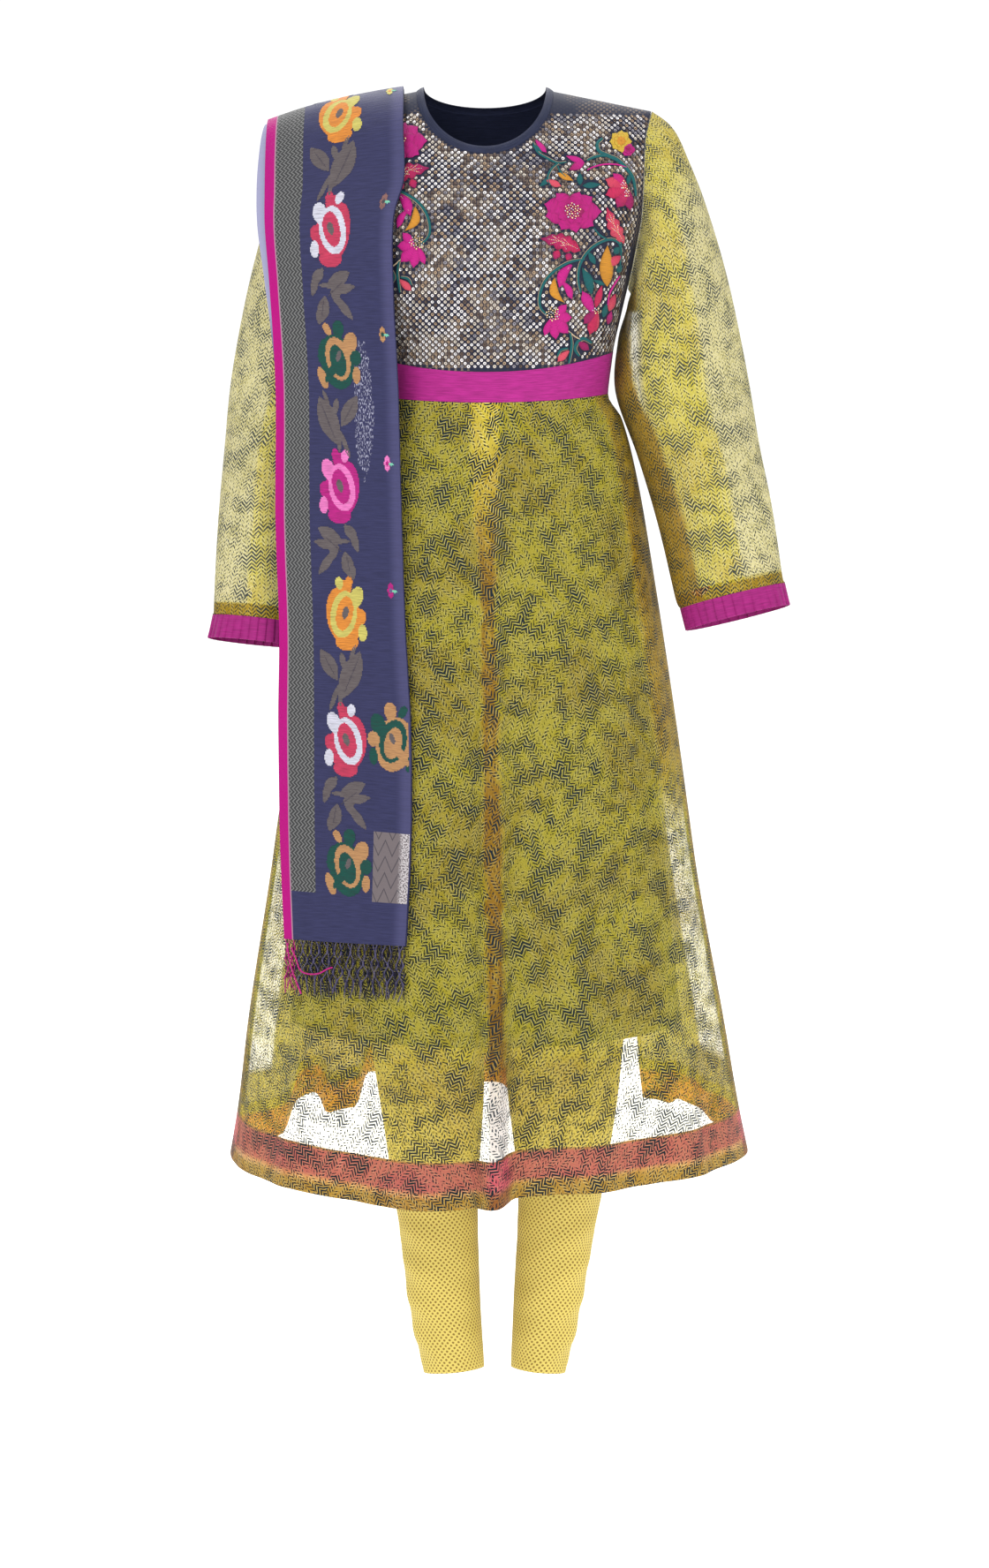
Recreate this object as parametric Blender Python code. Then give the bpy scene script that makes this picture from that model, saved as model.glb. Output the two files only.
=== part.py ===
"""Salwar kameez suit: a tunic with an empire yoke, a sheer flared skirt and
sheer sleeves, slim trousers, and a long scarf folded over one shoulder.

Every piece of cloth is a closed wall of real thickness. Its points come from
a few tables of body sections and from the folds that are laid over them.
Metres, +Z up. The origin is at shoulder height on the middle of the body,
the front faces -Y, and the wearer's left is +X.
"""

import math
from collections import namedtuple

import bmesh
import bpy
from mathutils import Vector

# ---------------------------------------------------------------- cloth
YOKE_WALL = 0.0016
SILK_WALL = 0.0014
SHEER_WALL = 0.0012
FACING_WALL = 0.0010
TROUSER_WALL = 0.0014
SEAM = 0.0003            # gap along a seam between two pieces
HALF_SEAM = 0.0002       # each panel's share at the side and shoulder seams
LAYER_GAP = 0.0004       # gap between a panel and what lies on it

# ---------------------------------------------------------------- kameez
SHOULDER_TIP = 0.174     # half the width across the shoulders
SHOULDER_DROP = 0.0205   # fall of the shoulder seam from neck to tip
UNDERARM_Z = -0.205
ROUNDING_Z = -0.110      # height from which the shoulders round over
NECK_HALF_WIDTH = 0.0705
NECK_RISE = 0.022        # how far the body goes on rising inside the neck
FRONT_NECK_DEPTH = 0.067
BACK_NECK_DEPTH = 0.020
BINDING_WIDTH = 0.0066
BINDING_LIFT = 0.0009
BINDING_WALL = 0.0012
BINDING_GAP = 0.0006

BAND_TOP_Z = -0.270      # at the side seams
BAND_TOP_DIP = 0.0195    # extra depth of the band's top edge at centre front
BAND_FOOT_Z = -0.314
BAND_FOOT_DIP = 0.0070
HEM_Z = -1.137           # at the side seams

# How far the hem rises over HEM_Z, by degrees from the middle (+ is left).
HemRise = namedtuple("HemRise", "degrees rise")
FRONT_HEM = [
    HemRise(-90, 0.0000), HemRise(-66, -0.0040), HemRise(-45, -0.0010),
    HemRise(-31, -0.0070), HemRise(-19, -0.0100), HemRise(-4, -0.0085),
    HemRise(2, -0.0030), HemRise(8, 0.0030), HemRise(25, 0.0050),
    HemRise(46, 0.0055), HemRise(59, 0.0055), HemRise(75, 0.0030), HemRise(90, 0.0000),
]
BACK_HEM = [
    HemRise(-90, 0.0000), HemRise(-75, -0.0070), HemRise(-61, -0.0100),
    HemRise(-45, 0.0060), HemRise(-33, 0.0145), HemRise(0, 0.0140),
    HemRise(25, 0.0180), HemRise(42, 0.0280), HemRise(58, 0.0140),
    HemRise(73, 0.0110), HemRise(90, 0.0000),
]

Section = namedtuple("Section", "z left right front back squareness")
KAMEEZ = [
    Section(0.025, 0.192, 0.1920, 0.062, 0.088, 2.4),
    Section(-0.040, 0.1825, 0.1825, 0.075, 0.094, 2.4),
    Section(-0.080, 0.1770, 0.1770, 0.089, 0.098, 2.4),
    Section(-0.120, 0.1710, 0.1710, 0.105, 0.100, 2.4),
    Section(-0.160, 0.1610, 0.1610, 0.118, 0.098, 2.35),
    Section(-0.205, 0.1500, 0.1500, 0.124, 0.094, 2.3),
    Section(-0.235, 0.1430, 0.1430, 0.119, 0.090, 2.25),
    Section(-0.270, 0.1355, 0.1355, 0.107, 0.086, 2.2),
    Section(-0.315, 0.1305, 0.1305, 0.099, 0.085, 2.15),
    Section(-0.340, 0.1450, 0.1450, 0.103, 0.089, 2.1),
    Section(-0.406, 0.1625, 0.1625, 0.114, 0.099, 2.05),
    Section(-0.510, 0.1810, 0.1810, 0.131, 0.112, 2.0),
    Section(-0.667, 0.2060, 0.2060, 0.151, 0.124, 2.0),
    Section(-0.760, 0.2195, 0.2225, 0.163, 0.129, 2.0),
    Section(-0.828, 0.2295, 0.2325, 0.171, 0.132, 2.0),
    Section(-0.990, 0.2600, 0.2585, 0.193, 0.142, 2.0),
    Section(-1.085, 0.2770, 0.2705, 0.205, 0.147, 2.0),
    Section(-1.160, 0.2930, 0.2835, 0.214, 0.151, 2.0),
]

# Folds of the skirt: where they run, how far they reach to either side and how
# deep they are at the hem, the height they start from, how slowly they open,
# and how far they lift the hem. The first front fold is the pleat at the centre.
Fold = namedtuple("Fold", "x before after depth top_depth start opening lift")
FRONT_FOLDS = [
    Fold(0.010, 0.021, 0.021, 0.030, 0.003, -0.318, 1.6, 0.001),
    Fold(-0.205, 0.060, 0.060, 0.014, 0.0, -0.640, 1.8, 0.000),
    Fold(-0.060, 0.070, 0.062, 0.010, 0.0, -0.800, 1.8, 0.000),
    Fold(0.120, 0.046, 0.046, 0.009, 0.0, -0.700, 1.8, 0.000),
    Fold(0.222, 0.034, 0.034, 0.012, 0.0, -0.760, 1.8, 0.002),
]
BACK_FOLDS = [
    Fold(-0.225, 0.014, 0.034, 0.048, 0.0, -0.620, 2.5, 0.022),
    Fold(-0.143, 0.014, 0.034, 0.066, 0.0, -0.560, 2.5, 0.026),
    Fold(0.000, 0.040, 0.040, 0.072, 0.0, -0.480, 2.2, 0.008),
    Fold(0.088, 0.022, 0.026, 0.040, 0.0, -0.600, 2.4, 0.008),
    Fold(0.173, 0.040, 0.014, 0.100, 0.0, -0.560, 2.5, 0.052),
    Fold(0.240, 0.024, 0.024, 0.030, 0.0, -0.700, 2.5, 0.006),
]
SKIRT_LEVELS = (0.0, 0.03, 0.11, 0.24, 0.38, 0.52, 0.66, 0.79, 0.88, 0.941, 0.982, 1.0)
FRONT_FACING = (9, 10)   # levels between which the front hem facing lies
BACK_FACING = (9, 11)

Lining = namedtuple("Lining", "z half_width front back")
LINING_INSET = 0.0019    # at the waist seam
LINING = [
    Lining(-0.345, 0.1320, 0.098, 0.0835),
    Lining(-0.420, 0.1500, 0.106, 0.0920),
    Lining(-0.550, 0.1690, 0.120, 0.1020),
    Lining(-0.700, 0.1830, 0.134, 0.1100),
    Lining(-0.850, 0.1980, 0.147, 0.1150),
    Lining(-0.988, 0.2130, 0.160, 0.1200),
]

Armhole = namedtuple("Armhole", "z front back")
ARMHOLE = [
    Armhole(-0.2050, 0.1500, 0.1500),
    Armhole(-0.1650, 0.1575, 0.1560),
    Armhole(-0.1250, 0.1635, 0.1595),
    Armhole(-0.0900, 0.1648, 0.1600),
    Armhole(-0.0550, 0.1662, 0.1625),
    Armhole(-0.0205, 0.1740, 0.1740),
]

# Sleeve rings: outer and inner point of each ring seen from the front, its
# middle and half depth front to back, and how far its front edge is raised.
Ring = namedtuple("Ring", "outer_x outer_z inner_x inner_z middle_y half_depth tilt")
LEFT_SLEEVE = [
    Ring(0.1940, -0.0363, 0.1545, -0.2125, 0.000, 0.050, 0),
    Ring(0.2106, -0.0650, 0.1545, -0.2210, 0.000, 0.055, 0),
    Ring(0.2313, -0.1138, 0.1535, -0.2340, 0.000, 0.058, 0),
    Ring(0.2541, -0.1917, 0.1460, -0.2620, -0.001, 0.057, 1),
    Ring(0.2765, -0.2940, 0.1465, -0.3135, -0.006, 0.053, 4),
    Ring(0.2900, -0.3640, 0.1650, -0.3810, -0.014, 0.049, 7),
    Ring(0.3028, -0.4257, 0.1855, -0.4580, -0.026, 0.045, 9),
    Ring(0.3143, -0.4985, 0.2035, -0.5265, -0.039, 0.040, 10),
    Ring(0.3170, -0.5119, 0.2065, -0.5390, -0.042, 0.039, 10),
]
LEFT_CUFF_FOOT = Ring(0.3225, -0.5350, 0.2125, -0.5620, -0.047, 0.041, 10)
RIGHT_SLEEVE = [
    Ring(0.1930, -0.0363, 0.1545, -0.2125, 0.000, 0.050, 0),
    Ring(0.2085, -0.0650, 0.1545, -0.2210, 0.000, 0.055, 0),
    Ring(0.2265, -0.1180, 0.1535, -0.2340, 0.000, 0.057, 0),
    Ring(0.2475, -0.1980, 0.1460, -0.2620, -0.001, 0.056, 1),
    Ring(0.2665, -0.2940, 0.1465, -0.3135, -0.006, 0.052, 4),
    Ring(0.2755, -0.3650, 0.1605, -0.3760, -0.014, 0.048, 7),
    Ring(0.2825, -0.4400, 0.1765, -0.4500, -0.026, 0.044, 9),
    Ring(0.2878, -0.5330, 0.1905, -0.5430, -0.040, 0.039, 10),
    Ring(0.2882, -0.5455, 0.1925, -0.5555, -0.042, 0.038, 10),
]
RIGHT_CUFF_FOOT = Ring(0.2936, -0.5700, 0.1930, -0.5800, -0.047, 0.040, 10)
SLEEVE_SIDES = 20
SLEEVE_EASE = 0.0010     # gap at the armhole seam
CUFF_PLEATS = 34
PLEAT_DEPTH = 0.0020
# A knife pleat climbs slowly and falls back sharply: share of the pitch, height.
PLEAT_PROFILE = ((0.0, 0.0), (0.42, 0.7), (0.80, 1.0))

# ---------------------------------------------------------------- scarf
SCARF_LAYERS = 5
SCARF_WALL = 0.0010
SCARF_PITCH = 0.0014     # from one layer's face to the next
SCARF_FOLD = 0.0006      # how far a fold reaches past the layers it joins
SCARF_BOW = 0.0040       # how far the folded width bows outward
SCARF_SLIP = 0.0100      # how far the fold next to the body slips out
SLIP_FROM, SLIP_TO = 0.270, 0.520    # shares of the length between which it does
SLIP_SAG = 0.062         # how far a slipped fold sinks, per metre of slip
# Stations of the folded scarf, front foot to back foot: its inner edge (near
# the middle of the body) and its outer edge.
Station = namedtuple("Station", "in_x in_y in_z out_x out_y out_z")
SCARF = [
    Station(-0.0829, -0.1800, -0.8758, -0.2106, -0.1230, -0.8792),
    Station(-0.0774, -0.1660, -0.7680, -0.2150, -0.1120, -0.7640),
    Station(-0.0774, -0.1520, -0.6621, -0.2160, -0.1020, -0.6560),
    Station(-0.0828, -0.1365, -0.5550, -0.2145, -0.0980, -0.5550),
    Station(-0.0866, -0.1220, -0.4400, -0.2177, -0.0900, -0.4370),
    Station(-0.0900, -0.1150, -0.3100, -0.2168, -0.0800, -0.3100),
    Station(-0.0944, -0.1180, -0.2050, -0.2222, -0.0780, -0.2050),
    Station(-0.0944, -0.1120, -0.1358, -0.2268, -0.0730, -0.1430),
    Station(-0.0835, -0.0970, -0.0911, -0.2272, -0.0650, -0.1047),
    Station(-0.0850, -0.0700, -0.0420, -0.2272, -0.0480, -0.0670),
    Station(-0.0855, -0.0350, -0.0070, -0.2270, -0.0250, -0.0380),
    Station(-0.0860, 0.0000, 0.0052, -0.2270, 0.0000, -0.0285),
    Station(-0.0865, 0.0400, -0.0050, -0.2270, 0.0275, -0.0372),
    Station(-0.0870, 0.0785, -0.0400, -0.2275, 0.0515, -0.0660),
    Station(-0.0880, 0.1070, -0.1000, -0.2280, 0.0690, -0.1150),
    Station(-0.0900, 0.1110, -0.2000, -0.2270, 0.0740, -0.2050),
    Station(-0.0900, 0.1080, -0.3500, -0.2240, 0.0780, -0.3500),
    Station(-0.0880, 0.1150, -0.5000, -0.2220, 0.0880, -0.5000),
    Station(-0.0870, 0.1290, -0.6500, -0.2200, 0.1010, -0.6500),
    Station(-0.0860, 0.1490, -0.8000, -0.2180, 0.1210, -0.8000),
    Station(-0.0860, 0.1780, -0.9800, -0.2170, 0.1500, -0.9800),
]
SCARF_STOPS = (0.0, 0.05, 0.10, 0.15, 0.20, 0.25, 0.30, 0.342, 0.376, 0.400, 0.418, 0.433, 0.446,
               0.458, 0.470, 0.484, 0.500, 0.520, 0.546, 0.58, 0.63, 0.70, 0.77, 0.85, 0.925, 1.0)
FRINGE_STRANDS = 16      # in each of two rows
STRAND_WIDTH = 0.0020
FRINGE_LENGTH = 0.0580
FRINGE_STRIP = 0.0040
FRINGE_GAP = 0.0004
FRINGE_LEAN = 0.0085     # sideways travel of a strand over its length

# ---------------------------------------------------------------- trousers
Hip = namedtuple("Hip", "z half_width front back")
HIPS = [
    Hip(-0.4200, 0.1220, 0.083, 0.078),
    Hip(-0.5300, 0.1440, 0.092, 0.086),
    Hip(-0.6300, 0.1580, 0.100, 0.096),
    Hip(-0.7600, 0.1640, 0.100, 0.098),
]
Leg = namedtuple("Leg", "z inner_x outer_x middle_y half_depth")
LEFT_LEG = [
    Leg(-0.6300, 0.0015, 0.1620, 0.002, 0.094),
    Leg(-0.7600, 0.0030, 0.1640, 0.002, 0.0911),
    Leg(-0.9000, 0.0110, 0.1580, 0.000, 0.078),
    Leg(-1.0600, 0.0230, 0.1470, 0.000, 0.066),
    Leg(-1.2000, 0.0360, 0.1260, 0.002, 0.057),
    Leg(-1.3000, 0.0315, 0.1080, 0.002, 0.050),
    Leg(-1.4000, 0.0275, 0.0870, 0.000, 0.044),
]
RIGHT_LEG = [
    Leg(-0.6300, 0.0015, 0.1600, 0.002, 0.094),
    Leg(-0.7600, 0.0015, 0.1570, 0.002, 0.0934),
    Leg(-0.9000, 0.0015, 0.1430, 0.000, 0.078),
    Leg(-1.0600, 0.0015, 0.1190, 0.000, 0.066),
    Leg(-1.2000, 0.0085, 0.0990, 0.002, 0.057),
    Leg(-1.3000, 0.0060, 0.0860, 0.002, 0.050),
    Leg(-1.4000, 0.0005, 0.0670, 0.000, 0.044),
]
TROUSER_LEVELS = (-0.42, -0.53, -0.63, -0.675, -0.71, -0.74, -0.80, -0.90,
                  -1.00, -1.10, -1.20, -1.30, -1.36, -1.386)
CROTCH_TOP, CROTCH_FOOT = -0.630, -0.745
ANKLE_SLANT = 0.0065     # the ankle hem drops towards the outside
ANKLE_RISE = 0.0100      # and rises over the instep
ANKLE_DROP = 0.0040      # and drops at the heel
LEG_SIDES = 16
INSEAM_SHARE = 0.0006    # share of the ring left open at each side of a seam
WAISTBAND_HEIGHT = 0.028

COLOURS = {
    "sequins": (0.62, 0.58, 0.50, 0.45, 0.5),
    "navy silk": (0.045, 0.055, 0.13, 0.5, 0.0),
    "magenta silk": (0.52, 0.03, 0.30, 0.45, 0.0),
    "sheer print": (0.62, 0.55, 0.08, 0.75, 0.0),
    "lining": (0.06, 0.07, 0.09, 0.7, 0.0),
    "coral facing": (0.55, 0.12, 0.10, 0.6, 0.0),
    "dotted cotton": (0.80, 0.64, 0.14, 0.8, 0.0),
    "scarf silk": (0.07, 0.07, 0.20, 0.5, 0.0),
    "fringe yarn": (0.08, 0.07, 0.18, 0.7, 0.0),
}


# ================================================================ curves
def smooth_value(knots, values, at):
    """Value at `at` on a smooth curve that never overshoots its knots."""
    if knots[0] > knots[-1]:
        knots, values = knots[::-1], values[::-1]
    at = min(max(at, knots[0]), knots[-1])
    step = [b - a for a, b in zip(knots, knots[1:])]
    slope = [(b - a) / h for a, b, h in zip(values, values[1:], step)]
    tangent = [slope[0]] + [0.0] * (len(slope) - 1) + [slope[-1]]
    for k in range(1, len(slope)):
        if slope[k - 1] * slope[k] > 0:
            tangent[k] = 2 / (1 / slope[k - 1] + 1 / slope[k])
    k = max(i for i in range(len(step)) if knots[i] <= at or i == 0)
    t = (at - knots[k]) / step[k]
    rise = values[k + 1] - values[k]
    ease = t * t * (3 - 2 * t)
    return (values[k] + rise * ease
            + step[k] * t * (1 - t) * (tangent[k] * (1 - t) - tangent[k + 1] * t))


def from_table(table, column, z):
    """Read one column of a table of sections at the height z."""
    return smooth_value([row.z for row in table],
                        [getattr(row, column) for row in table], z)


def ease(t):
    """Smooth step from 0 to 1."""
    t = min(max(t, 0.0), 1.0)
    return t * t * (3 - 2 * t)


def power(value, exponent):
    """Signed power."""
    return math.copysign(abs(value) ** exponent, value)


# ================================================================ walls
def grid_normals(rows, closed):
    """Unit normals of a grid of points, pointing away from each row's middle."""
    count = len(rows[0])
    normals = []
    outward = 0.0
    for j, row in enumerate(rows):
        middle = sum(row, Vector()) / count
        above, below = rows[max(j - 1, 0)], rows[min(j + 1, len(rows) - 1)]
        line = []
        for i, point in enumerate(row):
            last = (i - 1) % count if closed else max(i - 1, 0)
            following = (i + 1) % count if closed else min(i + 1, count - 1)
            normal = (row[following] - row[last]).cross(below[i] - above[i])
            if normal.length < 1e-12:
                normal = line[-1].copy() if line else Vector((0, 0, 1))
            normal.normalize()
            outward += normal.dot(point - middle)
            line.append(normal)
        normals.append(line)
    if outward < 0:
        normals = [[-normal for normal in line] for line in normals]
    return normals


def wall(name, rows, thickness, colour, closed=False, normals=None, lift=0.0, turned=()):
    """One piece of cloth: a grid of outer points and the same grid moved in.

    The columns in `turned` run back under the last, so their diagonals do too.
    """
    normals = normals or grid_normals(rows, closed)
    mesh = bpy.data.meshes.new(name)
    shape = bmesh.new()
    outer = [[shape.verts.new(p + n * lift) for p, n in zip(line, ns)]
             for line, ns in zip(rows, normals)]
    inner = [[shape.verts.new(p + n * (lift - thickness)) for p, n in zip(line, ns)]
             for line, ns in zip(rows, normals)]
    count = len(rows[0])
    around = range(count) if closed else range(count - 1)
    for j in range(len(rows) - 1):
        for i in around:
            k = (i + 1) % count
            for side in (outer, inner):
                a, b, c, d = side[j][i], side[j][k], side[j + 1][k], side[j + 1][i]
                if i in turned:
                    a, b, c, d = b, c, d, a
                shape.faces.new((a, b, c))
                shape.faces.new((a, c, d))
    for i in around:
        k = (i + 1) % count
        shape.faces.new((outer[0][k], outer[0][i], inner[0][i], inner[0][k]))
        shape.faces.new((outer[-1][i], outer[-1][k], inner[-1][k], inner[-1][i]))
    if not closed:
        for j in range(len(rows) - 1):
            shape.faces.new((outer[j][0], outer[j + 1][0], inner[j + 1][0], inner[j][0]))
            shape.faces.new((outer[j + 1][-1], outer[j][-1], inner[j][-1], inner[j + 1][-1]))
    return finish(name, mesh, shape, colour)


def finish(name, mesh, shape, colour):
    """Turn the faces outward and put the mesh in the scene with its colour."""
    bmesh.ops.recalc_face_normals(shape, faces=shape.faces[:])
    shape.to_mesh(mesh)
    shape.free()
    mesh.shade_smooth()
    mesh.set_sharp_from_angle(angle=math.radians(50))
    piece = bpy.data.objects.new(name, mesh)
    bpy.context.scene.collection.objects.link(piece)
    mesh.materials.append(material(name, colour))
    return piece


def material(name, colour):
    """A plain Principled material for one piece."""
    red, green, blue, roughness, metallic = COLOURS[colour]
    look = bpy.data.materials.new(name)
    look.use_nodes = True
    shader = look.node_tree.nodes["Principled BSDF"]
    shader.inputs["Base Color"].default_value = (red, green, blue, 1)
    shader.inputs["Roughness"].default_value = roughness
    shader.inputs["Metallic"].default_value = metallic
    return look


# ================================================================ kameez
def ridge(x):
    """Height of the shoulder line at x; it goes on rising inside the neck."""
    x = abs(x)
    if x >= NECK_HALF_WIDTH:
        return -SHOULDER_DROP * (x - NECK_HALF_WIDTH) / (SHOULDER_TIP - NECK_HALF_WIDTH)
    return NECK_RISE * (1 - (x / NECK_HALF_WIDTH) ** 2)


def half_width(side, z):
    """Reach of the kameez to the left (side above 0) or the right."""
    return from_table(KAMEEZ, "left" if side >= 0 else "right", z)


def body_point(angle, z, back, share=HALF_SEAM):
    """Point of the kameez's surface; angle 0 is the middle, 90 the side seam."""
    square = from_table(KAMEEZ, "squareness", z)
    x = half_width(angle, z) * power(math.sin(angle), 2 / square)
    depth = from_table(KAMEEZ, "back" if back else "front", z)
    y = depth * max(math.cos(angle), 0.0) ** (2 / square)
    if z > ROUNDING_Z:
        climb = min((z - ROUNDING_Z) / (ridge(x) - ROUNDING_Z), 1.0)
        y *= math.sqrt(1 - climb * climb)
    y += share
    return Vector((x, y if back else -y, z))


def body_level(x, y, z):
    """Zero on the kameez's surface, less inside it and more outside."""
    square = from_table(KAMEEZ, "squareness", z)
    depth = from_table(KAMEEZ, "back" if y > 0 else "front", z)
    reach = max(1 - (abs(x) / half_width(x, z)) ** square, 0.0)
    climb = max(z - ROUNDING_Z, 0.0) / (ridge(x) - ROUNDING_Z)
    return (y / depth) ** 2 - (1 - climb * climb) * reach ** (2 / square)


def body_normal(point):
    """Outward unit normal of the kameez's surface."""
    x, y, z = point
    step = 1e-5
    return Vector((body_level(x + step, y, z) - body_level(x - step, y, z),
                   body_level(x, y + step, z) - body_level(x, y - step, z),
                   body_level(x, y, z + step) - body_level(x, y, z - step))).normalized()


def angle_at(x, z):
    """Angle of body_point that reaches the given x."""
    square = from_table(KAMEEZ, "squareness", z)
    ratio = min(abs(x) / half_width(x, z), 1.0)
    return math.copysign(math.asin(ratio ** (square / 2)), x)


def band_top(angle, back):
    """Height of the band's top edge."""
    return BAND_TOP_Z - (0 if back else BAND_TOP_DIP) * math.cos(angle) ** 2


def band_foot(angle, back):
    """Height of the band's lower edge."""
    return BAND_FOOT_Z - (0 if back else BAND_FOOT_DIP) * math.cos(angle) ** 2


def neckline(share, back, inset=0.0):
    """Point (x, z) of the neckline, from the right neck point to the left."""
    half_width = NECK_HALF_WIDTH - inset
    start = ridge(half_width)
    depth = (BACK_NECK_DEPTH if back else FRONT_NECK_DEPTH) - inset + start
    return (-half_width * math.cos(math.pi * share),
            start - depth * math.sin(math.pi * share))


NECK_SHARE = 0.26        # share of the yoke's top edge taken by each shoulder
UNDERARM_SHARE = 0.25    # share of the yoke's side edge below the armhole
NECK_STOPS = (0.0, 0.03, 0.08, 0.15, 0.245, 0.365, 0.5, 0.635, 0.755, 0.85, 0.92, 0.97, 1.0)
YOKE_ROWS = (0.0, 0.125, 0.25, 0.40, 0.54, 0.67, 0.79, 0.885, 0.95, 0.985, 1.0)


def yoke_columns():
    """Shares across the yoke, from its right edge to its left."""
    shoulder = [0.0, 0.02, 0.06, 0.11, 0.165, 0.215]
    neck = [NECK_SHARE + (1 - 2 * NECK_SHARE) * stop for stop in NECK_STOPS]
    return shoulder + neck + [1 - p for p in reversed(shoulder)]


def yoke_top(p, back):
    """Angle and height on the shoulder seams and the neckline."""
    side = -1 if p < 0.5 else 1
    q = min(p, 1 - p)
    if q < NECK_SHARE:
        x = SHOULDER_TIP + (NECK_HALF_WIDTH - SHOULDER_TIP) * q / NECK_SHARE
        z = ridge(x)
    else:
        x, z = neckline((q - NECK_SHARE) / (1 - 2 * NECK_SHARE), back)
        x = abs(x)
    return side * angle_at(x, z), z


def yoke_side(q, back):
    """Angle and height on the left side seam and armhole."""
    if q <= UNDERARM_SHARE:
        z = BAND_TOP_Z + (UNDERARM_Z - BAND_TOP_Z) * q / UNDERARM_SHARE
        return math.pi / 2, z
    share = (q - UNDERARM_SHARE) / (1 - UNDERARM_SHARE)
    z = UNDERARM_Z + (-SHOULDER_DROP - UNDERARM_Z) * share
    return angle_at(from_table(ARMHOLE, "back" if back else "front", z), z), z


def yoke(name, back):
    """Front or back yoke, spanned between its four seams."""
    columns = yoke_columns()
    corner_angle, corner_z = yoke_side(0.0, back)
    tip_angle, tip_z = yoke_top(0.0, back)
    rows = []
    for q in YOKE_ROWS:
        side_angle, side_z = yoke_side(q, back)
        line = []
        for p in columns:
            foot_angle = math.pi * (p - 0.5)
            foot_z = band_top(foot_angle, back) + SEAM
            top_angle, top_z = yoke_top(p, back)
            across = (2 * p - 1) ** 3      # keeps the armhole's curve near the armhole
            angle = ((1 - q) * foot_angle + q * top_angle + across * side_angle
                     - across * ((1 - q) * corner_angle - q * tip_angle))
            z = ((1 - q) * foot_z + q * top_z + side_z
                 - (1 - q) * (corner_z + SEAM) - q * tip_z)
            line.append(body_point(angle, z, back))
        rows.append(line)
    normals = [[body_normal(point) for point in line] for line in rows]
    for point, normal in zip(rows[-1], normals[-1]):
        if abs(point.x) >= NECK_HALF_WIDTH - 1e-6:
            slope = SHOULDER_DROP / (SHOULDER_TIP - NECK_HALF_WIDTH)
            normal.xyz = Vector((math.copysign(slope, point.x), 0, 1)).normalized()
    level_side_seams(normals, YOKE_ROWS.index(UNDERARM_SHARE))
    wall(name, rows, YOKE_WALL, "sequins", normals=normals)


def level_side_seams(normals, last_row):
    """Make the walls of two panels meet square at their side seam."""
    for line in normals[:last_row + 1]:
        for normal in (line[0], line[-1]):
            normal.y = 0
            normal.normalize()


def neck_binding():
    """Rolled silk binding round the whole neckline."""
    insets = (BINDING_GAP, BINDING_WIDTH * 0.3, BINDING_WIDTH * 0.75, BINDING_WIDTH)
    heights = (0.3, 1.0, 1.0, 0.4)
    rows = []
    for inset in insets:
        line = []
        for back in (False, True):
            for stop in NECK_STOPS[:-1]:
                x, z = neckline(1 - stop if back else stop, back, inset)
                line.append(body_point(angle_at(x, z), z, back, share=0.0))
        rows.append(line)
    normals = [[body_normal(point) for point in line] for line in rows]
    lifted = [[p + n * BINDING_LIFT * height for p, n in zip(line, ns)]
              for line, ns, height in zip(rows, normals, heights)]
    wall("neck_binding", lifted, BINDING_WALL, "navy silk", closed=True, normals=normals)


def waist_band():
    """Plain silk band round the body, deeper at centre front."""
    angles = [math.pi * (p - 0.5) for p in yoke_columns()]
    turns = [(angle, False) for angle in angles]
    turns += [(angle, True) for angle in reversed(angles[1:-1])]
    rows = []
    for share in (0.0, 0.5, 1.0):
        line = []
        for angle, back in turns:
            top = band_top(angle, back) - SEAM / 2
            foot = band_foot(angle, back) + SEAM / 2
            line.append(body_point(angle, top + (foot - top) * share, back, share=0.0))
        rows.append(line)
    wall("waist_band", rows, SILK_WALL, "magenta silk", closed=True)


def fold_angles(folds):
    """Angles of a skirt panel's columns: even steps, closer at the folds."""
    hem = KAMEEZ[-1].left
    angles = [math.radians(a) for a in (-90, -84, 84, 90)]
    for fold in folds:
        for share in (-1, -0.5, 0, 0.5, 1):
            reach = fold.before if share < 0 else fold.after
            angles.append(math.asin(max(min((fold.x + share * reach) / hem, 0.99), -0.99)))
    for k in range(-9, 10):
        angle = math.radians(8 * k)
        if min(abs(angle - other) for other in angles) > math.radians(3.0):
            angles.append(angle)
    angles.sort()
    kept = angles[:1]
    for angle in angles[1:]:
        if angle - kept[-1] > math.radians(1.0):
            kept.append(angle)
    kept[-1] = math.pi / 2
    return kept


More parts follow.
